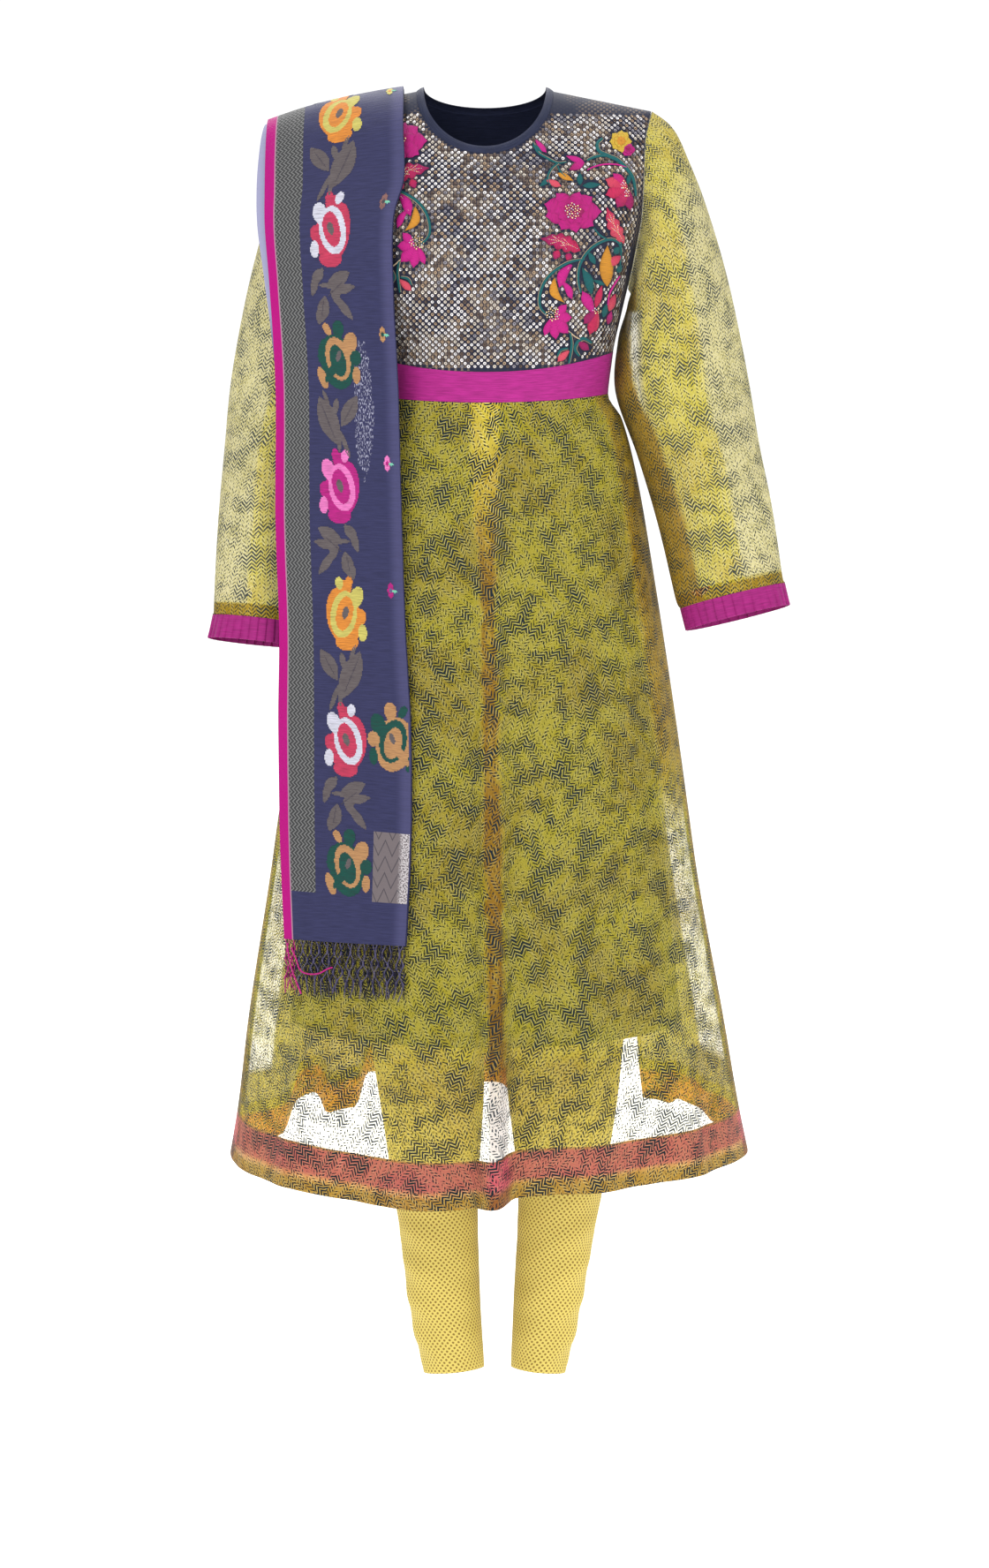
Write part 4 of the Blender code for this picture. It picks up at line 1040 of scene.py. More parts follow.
def staggered_dots() -> bpy.types.NodeTree:
    """Dots in rows that are offset by half a step, with slightly uneven edges.

    Returns:
        The effect.
    """
    g = Effect("staggered dots", "Place Across Down Radius", "Dot Ring Lot")
    place, across, down = (g.given(n) for n in ("Place", "Across", "Down"))
    u, v = g.apart(place)
    row = (v / down + 0.5).floor()
    x = u / across + (row * 0.5).fraction()
    off_x = ((x + 0.5).fraction() - 0.5) * across
    off_y = v - row * down
    reach = g.math("SQRT", off_x * off_x + off_y * off_y)
    wobble = (g.noise(place, 900.0) - 0.5) * 0.0008
    away = (reach + wobble) / g.given("Radius")
    ring = (away - 1.0).off(0.35).between(0.38, 0.20)
    return g.give(Dot=away.between(1.12, 0.88), Ring=ring, Lot=g.random((x + 0.5).floor(), row))


def zigzag_lines() -> bpy.types.NodeTree:
    """Fine woven zigzag lines that climb along the cloth.

    Returns:
        The effect.
    """
    g = Effect("zigzag lines", "Place Spacing Width Slope Share", "Line")
    place, width, share = (g.given(n) for n in ("Place", "Width", "Share"))
    u, v = g.apart(place)
    row = (u + g.math("PINGPONG", v, width * 0.5) * g.given("Slope")) / g.given("Spacing")
    overlaid = (g.noise(place, 260.0, 2.0) - 0.5) * 0.5
    off = row.fraction().off(0.5) + overlaid * share
    return g.give(Line=(off - share * 0.5).between(0.05, -0.05))


EFFECTS = {"strokes": strokes, "weave": weave, "staggered dots": staggered_dots,
           "zigzag lines": zigzag_lines}


@dataclass(frozen=True)
class Finish:
    """What a piece is made of.

    Attributes:
        name: the material's name.
        colour: its main colour.
        rough: its roughness.
        sheen: how much the fibres catch light at a slant.
        bump: depth of its surface relief in metres.
        metal: how metallic it is.
        glow: light that it gives off, for the floor alone.
        gloss: strength of its mirror-like reflection.
    """

    name: str
    colour: Colour
    rough: float = 0.6
    sheen: float = 0.0
    bump: float = 0.0002
    metal: float = 0.0
    glow: float = 0.0
    gloss: float = 0.12

    def material(self) -> bpy.types.Material:
        """The material, made once and shared by the pieces that wear it.

        Returns:
            The material.
        """
        found = bpy.data.materials.get(self.name)
        if found:
            return found
        made = bpy.data.materials.new(self.name)
        made.use_nodes = True
        graph = Graph(made.node_tree)
        shader = made.node_tree.nodes["Principled BSDF"]
        for label, value in (("Roughness", self.rough), ("Sheen Weight", self.sheen),
                             ("Sheen Roughness", 0.4), ("Metallic", self.metal),
                             ("Emission Strength", self.glow),
                             ("Specular IOR Level", self.gloss)):
            shader.inputs[label].default_value = value
        shader.inputs["Emission Color"].default_value = (1.0, 1.0, 1.0, 1.0)
        colour, height, alpha = self.paint(graph)
        graph.feed(shader.inputs["Base Color"], colour)
        if height is not None:
            relief = graph.add("Bump")
            relief.inputs["Distance"].default_value = self.bump
            relief.inputs["Strength"].default_value = 1.0
            graph.feed(relief.inputs["Height"], height)
            graph.feed(shader.inputs["Normal"], relief.outputs[0])
        if alpha is not None:
            graph.feed(shader.inputs["Alpha"], alpha)
        return made

    def paint(self, g: Graph) -> tuple[object, Value | None, Value | None]:
        """Wire the colour, the relief and the see-through share.

        Args:
            g: the material's graph.

        Returns:
            The colour, the height and the alpha, the last two None where plain.
        """
        return self.colour, None, None


@dataclass(frozen=True)
class PlainWeave(Finish):
    """Cotton or raw silk: an even weave with uneven threads across it."""

    threads: float = 1400.0
    slub: float = 1.0
    contrast: float = 0.22

    def paint(self, g: Graph) -> tuple[object, Value | None, Value | None]:
        """Darken and lighten the cloth by its threads.

        Args:
            g: the material's graph.

        Returns:
            The colour, the height and the alpha.
        """
        woven = g.use(shared("weave"), Place=g.place(), Threads=self.threads, Slub=self.slub)
        dark = tuple(c * (1 - self.contrast) for c in self.colour)
        light = tuple(min(c * (1 + self.contrast), 1.0) for c in self.colour)
        return g.blend(woven["Streak"].between(0.25, 0.75), dark, light), woven["Height"], None


@dataclass(frozen=True)
class SheerPrint(Finish):
    """Organza printed with broken zigzag strokes, see-through between them."""

    ink: Colour = (0.006, 0.014, 0.020)
    haze: Colour = (0.30, 0.155, 0.015)
    light: Colour = (0.80, 0.74, 0.34)
    # the deeper colour where cloth lies in layers, which also paints shade at pleats and sides
    edge: Colour = (0.172, 0.076, 0.002)
    band: Colour = (0.54, 0.072, 0.125)
    painted_backlight: Colour = (0.64, 0.49, 0.018)     # painted light: the far side's inner face, brightened as if lit through the cloth
    clear: float = 0.45          # how much the bare cloth hides
    inked: float = 0.95          # how much a stroke hides
    far: float = 0.50            # how much more the far side hides
    spacing: float = 0.0041
    width: float = 0.0106
    weight: float = 0.0
    lean: float = 1.0            # how far its patches lean

    def paint(self, g: Graph) -> tuple[object, Value | None, Value | None]:
        """Print the strokes, paint layers, shade and light into the ground, and close it up where it
        is doubled.

        Args:
            g: the material's graph.

        Returns:
            The colour, the height and the alpha.
        """
        place = g.place()
        printed = g.use(shared("strokes"), Place=place, Spacing=self.spacing, Width=self.width,
                        Weight=self.weight, Lean=self.lean)
        ink = printed["Ink"]
        inner = Value(g, g.add("NewGeometry").outputs["Backfacing"])
        ground = g.blend(printed["Haze"] * 0.4, self.colour, self.haze)
        # Painted light: faces seen from inside take a brighter colour, as if lit through the cloth
        ground = g.blend(inner, ground, self.painted_backlight)
        # Deeper brown-orange for layered cloth, with painted shade at pleats and sides and painted
        # light on the back facing's foot
        ground = g.blend(g.mark("LayersAndPaintedLight"), ground, self.edge)
        ground = g.blend(g.mark("Band"), ground, self.band)
        # Where the ground is deepened or banded, the light flecks fade
        overlaid = g.math("MAXIMUM", g.mark("LayersAndPaintedLight"), g.mark("Band"))
        pale = printed["Light"] * g.math("SUBTRACT", 0.60, overlaid * 0.52)
        ground = g.blend(pale, ground, self.light)
        colour = g.blend(ink, ground, self.ink)
        closed = g.mark("Doubled")
        bare = (inner * self.far + self.clear) * (g.math("MINIMUM", closed, 0.0) + 1.0)
        hides = bare + ink * g.math("SUBTRACT", self.inked, bare)
        hides = hides + g.math("MAXIMUM", closed, 0.0) * g.math("SUBTRACT", 1.0, hides)
        woven = g.use(shared("weave"), Place=place, Threads=1500.0, Slub=0.3)
        return colour, woven["Height"] + ink * 0.5, hides


@dataclass(frozen=True)
class DottedCotton(Finish):
    """Cotton printed with small staggered dots."""

    dot: Colour = (0.18, 0.10, 0.02)
    pitch: float = 0.0059
    radius: float = 0.00128

    def paint(self, g: Graph) -> tuple[object, Value | None, Value | None]:
        """Print the dots on an even weave.

        Args:
            g: the material's graph.

        Returns:
            The colour, the height and the alpha.
        """
        place = g.place()
        dots = g.use(shared("staggered dots"), Place=place, Across=self.pitch,
                     Down=self.pitch * 0.54, Radius=self.radius)
        woven = g.use(shared("weave"), Place=place, Threads=1800.0, Slub=0.5)
        cloud = g.noise(place, 16.0, 2.0).between(0.3, 0.7)
        ground = g.blend(cloud * 0.35, self.colour, tuple(c * 0.86 for c in self.colour))
        return g.blend(dots["Dot"] * 0.85, ground, self.dot), woven["Height"], None


@dataclass(frozen=True)
class NettedYoke(Finish):
    """Navy net with beige rings worked round the sequins in drifting patches."""

    ring: Colour = (0.19, 0.145, 0.11)
    across: float = 0.0067
    down: float = 0.0033

    def paint(self, g: Graph) -> tuple[object, Value | None, Value | None]:
        """Work the rings over the net.

        Args:
            g: the material's graph.

        Returns:
            The colour, the height and the alpha.
        """
        place = g.place()
        dots = g.use(shared("staggered dots"), Place=place, Across=self.across, Down=self.down,
                     Radius=0.0022)
        woven = g.use(shared("weave"), Place=place, Threads=900.0, Slub=0.4)
        patch = g.noise(place, 20.0, 1.5).between(0.44, 0.58)
        ring = dots["Ring"] * (patch * 0.66 + 0.03)
        return g.blend(ring, self.colour, self.ring), woven["Height"] + ring * 2.0, None


@dataclass(frozen=True)
class Toned(Finish):
    """Many small things, each in the colour that it was made with."""

    threads: float = 0.0

    def paint(self, g: Graph) -> tuple[object, Value | None, Value | None]:
        """Take each colour from the mesh, and lay threads across it where there are any.

        Args:
            g: the material's graph.

        Returns:
            The colour, the height and the alpha.
        """
        tone = g.mark("Tone", "Color")
        if not self.threads:
            return tone, None, None
        u, v = g.apart(g.place())
        strand = g.noise(g.point(u * self.threads, v * 90.0), 1.0, 2.0)
        return g.blend(strand.between(0.35, 0.75) * 0.45, tone, (0.02, 0.01, 0.02)), strand, None


@dataclass(frozen=True)
class BrocadeSilk(Finish):
    """The scarf's silk: selvedge, zigzag border, plain field and a figured block."""

    selvedge: Colour = (0.340, 0.001, 0.146)
    stripe: Colour = (0.30, 0.17, 0.23)
    border: Colour = (0.036, 0.037, 0.038)
    silver: Colour = (0.150, 0.150, 0.150)
    selvedge_width: float = 0.0100
    stripe_width: float = 0.0014
    border_width: float = 0.0400     # from the cloth's edge
    end_field: float = 0.0500        # plain cloth past the border at each end
    length: float = 1.927
    block: tuple[float, float, float, float] = (0.1035, 0.1410, 0.0450, 0.1190)
    floats: tuple[float, float, float, float] = (0.1030, 0.5550, 0.0115, 0.0700)

    def paint(self, g: Graph) -> tuple[object, Value | None, Value | None]:
        """Divide the width into its woven zones.

        Args:
            g: the material's graph.

        Returns:
            The colour, the height and the alpha.
        """
        place = g.place()
        u, v = g.apart(place)
        woven = g.use(shared("weave"), Place=place, Threads=1100.0, Slub=1.3)
        lines = g.use(shared("zigzag lines"), Place=place, Spacing=0.0042, Width=0.0066, Slope=1.1,
                      Share=0.38)
        figure = g.use(shared("zigzag lines"), Place=g.point(v, u), Spacing=0.0170, Width=0.0145,
                       Slope=2.2, Share=0.13)
        dark = tuple(c * 0.83 for c in self.colour)
        light = tuple(c * 1.20 for c in self.colour)
        plain = g.blend(woven["Streak"].between(0.28, 0.72), dark, light)
        # Painted highlight: a lighter violet band along the first fold
        fold = (u - self.block[1]).off(0.0).between(0.016, 0.004)
        plain = g.blend(fold * 0.22, plain, (0.13, 0.125, 0.27))
        # Painted light: pale lavender along the slipped layer's fold
        slipped = (u - 4 * self.block[1]).off(0.0).between(0.022, 0.010) * v.between(0.58, 0.66)
        plain = g.blend(slipped * 0.8, plain, (0.34, 0.34, 0.50))
        x, y, wide, high = self.floats
        near = g.math("SQRT", ((u - x) / wide) * ((u - x) / wide)
                      + ((v - y) / high) * ((v - y) / high))
        ragged = near + (g.noise(place, 110.0, 2.0) - 0.5) * 0.9
        crinkle = g.noise(g.point(u * 900.0, v * 300.0), 1.0, 2.0).between(0.50, 0.62)
        plain = g.blend(crinkle * (ragged < 0.95) * 0.8, plain, (0.36, 0.36, 0.48))
        inside = (v > self.end_field) * (v < self.length - self.end_field)
        border = (u < self.border_width) * inside
        colour = g.blend(border, plain, g.blend(lines["Line"], self.border, self.silver))
        low, high_u, foot, top = self.block
        block = (u > low) * (u < high_u) * (v > foot) * (v < top)
        sparkle = g.noise(place, 700.0).between(0.42, 0.56) * u.between(0.129, 0.135)
        figured = g.blend(figure["Line"] * 0.8, (0.130, 0.108, 0.114), (0.035, 0.032, 0.042))
        figured = g.blend(sparkle * 0.9, figured, (0.50, 0.47, 0.48))
        colour = g.blend(block, colour, figured)
        edge = self.selvedge_width + self.stripe_width
        colour = g.blend(u < edge, colour, self.stripe)
        colour = g.blend(u < self.selvedge_width, colour, self.selvedge)
        height = woven["Height"] + lines["Line"] * border * 0.6 + crinkle * (ragged < 0.95) * 2.0
        return colour, height, None


@dataclass(frozen=True)
class Suit:
    """Every finish of the suit."""

    net: Finish = NettedYoke("navy net", (0.014, 0.017, 0.036), 0.6, 0.02)
    navy: Finish = PlainWeave("navy silk", (0.017, 0.021, 0.047), 0.5, 0.03)
    magenta: Finish = PlainWeave("magenta raw silk", (0.325, 0.017, 0.178), 0.5, 0.05)
    # a darker copy of the magenta silk: painted shade for the cuffs' shadowed pleats
    pleated: Finish = PlainWeave("magenta silk with painted shade", (0.275, 0.014, 0.145), 0.5, 0.04)
    sheer: Finish = SheerPrint("sheer printed organza", (0.59, 0.50, 0.036), 0.6, 0.0, 0.0001)
    # Its foot's bright orange is painted light, making up for the shade inside the skirt
    backing: Finish = SheerPrint("orange organza facing", (0.59, 0.50, 0.036), 0.6, 0.0, 0.0001,
                                 edge=(0.86, 0.27, 0.045))
    sleeve: Finish = SheerPrint("sheer sleeve organza", (0.58, 0.485, 0.014), 0.6, 0.0, 0.0001,
                                clear=0.55, inked=0.86, spacing=0.0042, width=0.0096,
                                weight=-0.06, ink=(0.026, 0.034, 0.026), far=0.20, lean=0.22,
                                band=(0.70, 0.62, 0.21), painted_backlight=(0.46, 0.38, 0.012),
                                edge=(0.235, 0.126, 0.008), haze=(0.42, 0.26, 0.012))
    turned: Finish = SheerPrint("turned sleeve hem", (0.36, 0.135, 0.025), 0.6, 0.0, 0.0001,
                                clear=0.9, inked=0.95, lean=0.3)
    coral: Finish = PlainWeave("coral facing", (0.57, 0.075, 0.110), 0.6, 0.05)
    lining: Finish = PlainWeave("olive lining", (0.050, 0.055, 0.032), 0.8, 0.0, contrast=0.10)
    cotton: Finish = DottedCotton("dotted cotton", (0.70, 0.56, 0.140), 0.8, 0.05)
    scarf: Finish = BrocadeSilk("brocade silk", (0.025, 0.026, 0.073), 0.5, 0.04)
    motif: Finish = Toned("brocade threads", (0.5, 0.5, 0.5), 0.6, 0.05, 0.0003, threads=1600.0)
    sequin: Finish = Toned("sequins", (0.7, 0.7, 0.7), 0.30, metal=0.5, gloss=0.4)
    thread: Finish = Toned("embroidery silk", (0.5, 0.5, 0.5), 0.45, 0.1, 0.0005, threads=2600.0)
    bead: Finish = Toned("gilt beads", (0.8, 0.6, 0.3), 0.25, metal=0.85, gloss=0.5)
    yarn: Finish = Toned("fringe yarn", (0.1, 0.1, 0.2), 0.7, 0.1, 0.0004, threads=4000.0)
    floor: Finish = Finish("pale floor", (0.90, 0.90, 0.895), 0.9, glow=0.35)


SUIT = Suit()


# ================================================================ the body's surface
def ridge(x: Array) -> Array:
    """Height of the shoulder line, which goes on rising inside the neck.

    Args:
        x: places across.

    Returns:
        The heights.
    """
    x = np.abs(x)
    slope = -SHOULDER_DROP * (x - NECK_HALF_WIDTH) / (SHOULDER_TIP - NECK_HALF_WIDTH)
    return np.where(x >= NECK_HALF_WIDTH, slope, NECK_RISE * (1 - (x / NECK_HALF_WIDTH) ** 2))


def half_width(side: Array, z: Array) -> Array:
    """Reach of the kameez to the left (side above 0) or the right."""
    return np.where(np.asarray(side) >= 0, BODY.read("left", z), BODY.read("right", z))


def body_point(angle: Array, z: Array, back: bool, share: float = HALF_SEAM) -> Array:
    """Points of the kameez's surface.

    Args:
        angle: 0 at the middle, a quarter turn at the side seams.
        z: height of each.
        back: whether they are on the back.
        share: how far the panel stands off the side seam.

    Returns:
        The points.
    """
    angle, z = np.broadcast_arrays(angle, z)
    square = BODY.read("squareness", z)
    x = half_width(angle, z) * power(np.sin(angle), 2 / square)
    depth = BODY.read("back" if back else "front", z)
    y = depth * np.maximum(np.cos(angle), 0.0) ** (2 / square)
    climb = np.clip((z - ROUNDING_Z) / (ridge(x) - ROUNDING_Z), 0.0, 1.0)
    y = y * np.sqrt(1 - climb * climb) + share
    return np.stack([x, y if back else -y, z], -1)


def body_level(place: Array) -> Array:
    """Zero on the kameez's surface, less inside it and more outside.

    Args:
        place: points, any x 3.

    Returns:
        A level for each point.
    """
    x, y, z = np.moveaxis(place, -1, 0)
    square = BODY.read("squareness", z)
    depth = np.where(y > 0, BODY.read("back", z), BODY.read("front", z))
    reach = np.maximum(1 - (np.abs(x) / half_width(x, z)) ** square, 0.0)
    climb = np.maximum(z - ROUNDING_Z, 0.0) / (ridge(x) - ROUNDING_Z)
    return (y / depth) ** 2 - (1 - climb * climb) * reach ** (2 / square)


def body_normal(points: Array) -> Array:
    """Outward unit normals of the kameez's surface.

    Args:
        points: points, any x 3.

    Returns:
        The normals.
    """
    step = 1e-5 * np.eye(3)
    rise = [body_level(points + step[k]) - body_level(points - step[k]) for k in range(3)]
    return unit(np.stack(rise, -1))


def angle_at(x: Array, z: Array) -> Array:
    """Angle at which the surface reaches the given x."""
    ratio = np.minimum(np.abs(x) / half_width(x, z), 1.0)
    return np.copysign(np.arcsin(ratio ** (BODY.read("squareness", z) / 2)), x)


def on_front(x: Array, z: Array, lift: Array | float) -> Array:
    """Points of the front yoke at places seen from the front, lifted off it.

    Args:
        x: across.
        z: height.
        lift: how far each is lifted.

    Returns:
        The points.
    """
    x, z = np.broadcast_arrays(np.asarray(x, float), np.asarray(z, float))
    points = body_point(angle_at(x, z), z, False)
    return points + body_normal(points) * np.broadcast_to(lift, x.shape)[..., None]


def yoke_reach(x: Array, z: Array) -> Array:
    """Half width of the front yoke at each height, up to the armhole's seam."""
    hole = ARMHOLE.read("front", np.maximum(z, UNDERARM_Z))
    return np.where(z > UNDERARM_Z, hole, half_width(x, z))


def band_top(angle: Array, back: bool) -> Array:
    """Height of the band's top edge."""
    return BAND_TOP_Z - (0 if back else BAND_TOP_DIP) * np.cos(angle) ** 2


def band_foot(angle: Array, back: bool) -> Array:
    """Height of the band's lower edge."""
    return BAND_FOOT_Z - (0 if back else BAND_FOOT_DIP) * np.cos(angle) ** 2


def neckline(share: Array, back: bool, inset: float = 0.0) -> tuple[Array, Array]:
    """Points (x, z) of the neckline, from the right neck point to the left.

    Args:
        share: shares of its length.
        back: whether it is the back's.
        inset: how far inside the seam it runs.

    Returns:
        x and z.
    """
    reach = NECK_HALF_WIDTH - inset
    start = ridge(reach)
    depth = NECK_DEPTH[back] - inset + start
    return -reach * np.cos(np.pi * share), start - depth * np.sin(np.pi * share)


# ================================================================ kameez
@dataclass
class Kameez:
    """The yokes, the neck binding and the waist band."""

    neck_share: float = 0.26
    underarm_share: float = 0.25
    neck_stops: tuple[float, ...] = (0.0, 0.03, 0.08, 0.15, 0.245, 0.365, 0.5, 0.635, 0.755, 0.85,
                                     0.92, 0.97, 1.0)
    rows: tuple[float, ...] = (0.0, 0.125, 0.25, 0.40, 0.54, 0.67, 0.79, 0.885, 0.95, 0.985, 1.0)
    shoulder_stops: tuple[float, ...] = (0.0, 0.02, 0.06, 0.11, 0.165, 0.215)
    yoke_flat: Flat = (0.415, 0.300)
    yoke_area: float = 0.1075
    back_flat: Flat = (0.385, 0.300)
    back_area: float = 0.1030
    binding_flat: Flat = (0.415, 0.012)
    band_flat: Flat = (0.715, 0.042)

    def columns(self, parts: int) -> Array:
        """Shares across the yoke, from its right edge to its left.

        Args:
            parts: how finely each gap between stops is divided.

        Returns:
            The shares.
        """
        shoulder = np.array(self.shoulder_stops)
        neck = self.neck_share + (1 - 2 * self.neck_share) * np.array(self.neck_stops)
        return finer(np.concatenate([shoulder, neck, 1 - shoulder[::-1]]), parts)

    def top(self, p: Array, back: bool) -> tuple[Array, Array]:
        """Angle and height on the shoulder seams and the neckline.

        Args:
            p: shares across.
            back: whether it is the back's.

        Returns:
            The angles and the heights.
        """
        q = np.minimum(p, 1 - p)
        on_shoulder = q < self.neck_share
        x = SHOULDER_TIP + (NECK_HALF_WIDTH - SHOULDER_TIP) * q / self.neck_share
        neck_x, neck_z = neckline((q - self.neck_share) / (1 - 2 * self.neck_share), back)
        x = np.where(on_shoulder, x, np.abs(neck_x))
        z = np.where(on_shoulder, ridge(x), neck_z)
        return np.where(p < 0.5, -1, 1) * angle_at(x, z), z

    def side(self, q: Array, back: bool) -> tuple[Array, Array]:
        """Angle and height on the left side seam and armhole.

        Args:
            q: shares of the way up.
            back: whether it is the back's.

        Returns:
            The angles and the heights.
        """
        low = q <= self.underarm_share
        share = (q - self.underarm_share) / (1 - self.underarm_share)
        z = np.where(low, BAND_TOP_Z + (UNDERARM_Z - BAND_TOP_Z) * q / self.underarm_share,
                     UNDERARM_Z + (-SHOULDER_DROP - UNDERARM_Z) * share)
        hole = angle_at(ARMHOLE.read("back" if back else "front", z), z)
        return np.where(low, np.pi / 2, hole), z

    def yoke_cloth(self, back: bool) -> Cloth:
        """The front or back yoke, spanned between its four seams.

        Args:
            back: whether it is the back one.

        Returns:
            The cloth.
        """
        p = self.columns(5)[None]
        q = finer(self.rows, 6)[:, None]
        corner_angle, corner_z = self.side(np.array(0.0), back)
        tip_angle, tip_z = self.top(np.array(0.0), back)
        side_angle, side_z = self.side(q, back)
        foot_angle = np.pi * (p - 0.5)
        foot_z = band_top(foot_angle, back) + SEAM
        top_angle, top_z = self.top(p, back)
        across = (2 * p - 1) ** 3
        angle = ((1 - q) * foot_angle + q * top_angle + across * side_angle
                 - across * ((1 - q) * corner_angle - q * tip_angle))
        z = (1 - q) * foot_z + q * top_z + side_z - (1 - q) * (corner_z + SEAM) - q * tip_z
        points = body_point(angle, z, back)[::-1]
        normals = body_normal(points)
        top = np.abs(points[0, :, 0]) >= NECK_HALF_WIDTH - 1e-6
        slope = SHOULDER_DROP / (SHOULDER_TIP - NECK_HALF_WIDTH)
        seam = np.stack([np.copysign(slope, points[0, :, 0]), 0 * top, 1 + 0 * top], -1)
        normals[0, top] = unit(seam[top])
        return Cloth(points, normals=normals, place=None if back else Unrolled().place(points))

    def binding_cloth(self) -> Cloth:
        """The rolled binding round the whole neckline.

        Returns:
            The cloth.
        """
        stops = finer(self.neck_stops, 5)
        rolls = np.linspace(0.0, 1.0, 9)
        rows = []
        for roll in rolls:
            inset = BINDING_WIDTH * roll - BINDING_LAP * (1 - roll)
            halves = []
            for back in (False, True):
                share = (1 - stops if back else stops)[:-1]
                x, z = neckline(share, back, inset)
                halves.append(body_point(angle_at(x, z), z, back, share=0.0))
            rows.append(np.concatenate(halves))
        points = np.array(rows)
        normals = body_normal(points)
        swell = BINDING_ROLL * np.sqrt(np.sin(np.pi * (0.08 + 0.84 * rolls)))
        return Cloth(points + normals * swell[:, None, None], True, normals)

    def band_cloth(self) -> Cloth:
        """The waist band, pulled in a little between its seams.

        Returns:
            The cloth.
        """
        angles = np.pi * (self.columns(4) - 0.5)
        shares = np.linspace(0.0, 1.0, 11)[:, None]
        halves = []
        for back, turn in ((False, angles), (True, angles[::-1][1:-1])):
            top = band_top(turn, back) - SEAM / 2
            foot = band_foot(turn, back) + SEAM / 2
            halves.append(body_point(turn[None], top + (foot - top) * shares, back, share=0.0))
        band = Cloth(np.concatenate(halves, axis=1), True)
        around = np.linspace(0.0, 2 * np.pi, band.points.shape[1], endpoint=False)
        ripple = 0.00035 * np.sin(9 * around + 4 * shares) * np.sin(23 * around)
        return band.moved(ripple + 0.0006 * np.sin(np.pi * shares))

    def build(self) -> None:
        """Make the yokes, the binding and the band."""
        front = put(self.yoke_cloth(False).mesh("yoke_front_cloth", SHELL), SUIT.net,
                    "sequinned_net", "yoke_front")
        back = put(self.yoke_cloth(True).mesh("yoke_back_cloth", SHELL), SUIT.navy,
                   "navy_silk", "yoke_back")
        binding = put(self.binding_cloth().mesh("neck_binding_silk", SHELL), SUIT.navy,
                      "navy_silk", "neck_binding")
        band = put(self.band_cloth().mesh("waist_band_silk", SHELL), SUIT.magenta,
                   "magenta_silk", "waist_band")


@dataclass
class Unrolled:
    """The front yoke laid flat: distances round from the middle and up from the waist."""

    levels: Array = field(default_factory=lambda: np.linspace(-0.300, 0.0, 121))
    angles: Array = field(default_factory=lambda: np.linspace(0.0, np.pi / 2, 161))

    def __post_init__(self) -> None:
        """Measure round the front at each level, and up it."""
        grid = body_point(self.angles[None], np.minimum(self.levels, -0.021)[:, None], False)
        self.round = arc_lengths(grid, 1)
        column = body_point(angle_at(0.09, self.levels), self.levels, False)
        self.up = arc_lengths(column[:, None], 0)[:, 0]

    def place(self, points: Array) -> Array:
        """Flat places of points of the yoke.

        Args:
            points: points of the yoke, any x 3.

        Returns:
            The flat places, any x 2.
        """
        x, z = points[..., 0], points[..., 2]
        angle = np.abs(angle_at(x, z)) / (np.pi / 2) * (len(self.angles) - 1)
        level = np.interp(z, self.levels, np.arange(len(self.levels)))
        i = np.clip(level.astype(int), 0, len(self.levels) - 2)
        j = np.clip(angle.astype(int), 0, len(self.angles) - 2)
        s, t = level - i, angle - j
        reach = ((self.round[i, j] * (1 - t) + self.round[i, j + 1] * t) * (1 - s)
                 + (self.round[i + 1, j] * (1 - t) + self.round[i + 1, j + 1] * t) * s)
        return np.stack([np.copysign(reach, x), np.interp(z, self.levels, self.up)], -1)

    def point(self, across: Array, up: float) -> Array:
        """Points of the yoke in one row of flat places.

        Args:
            across: distances from the middle.
            up: distance from the waist.

        Returns:
            The points.
        """
        z = np.interp(up, self.up, self.levels)
        i = int(np.interp(z, self.levels, np.arange(len(self.levels))))
        angle = np.copysign(np.interp(np.abs(across), self.round[i], self.angles), across)
        return body_point(angle, np.full_like(angle, z), False)


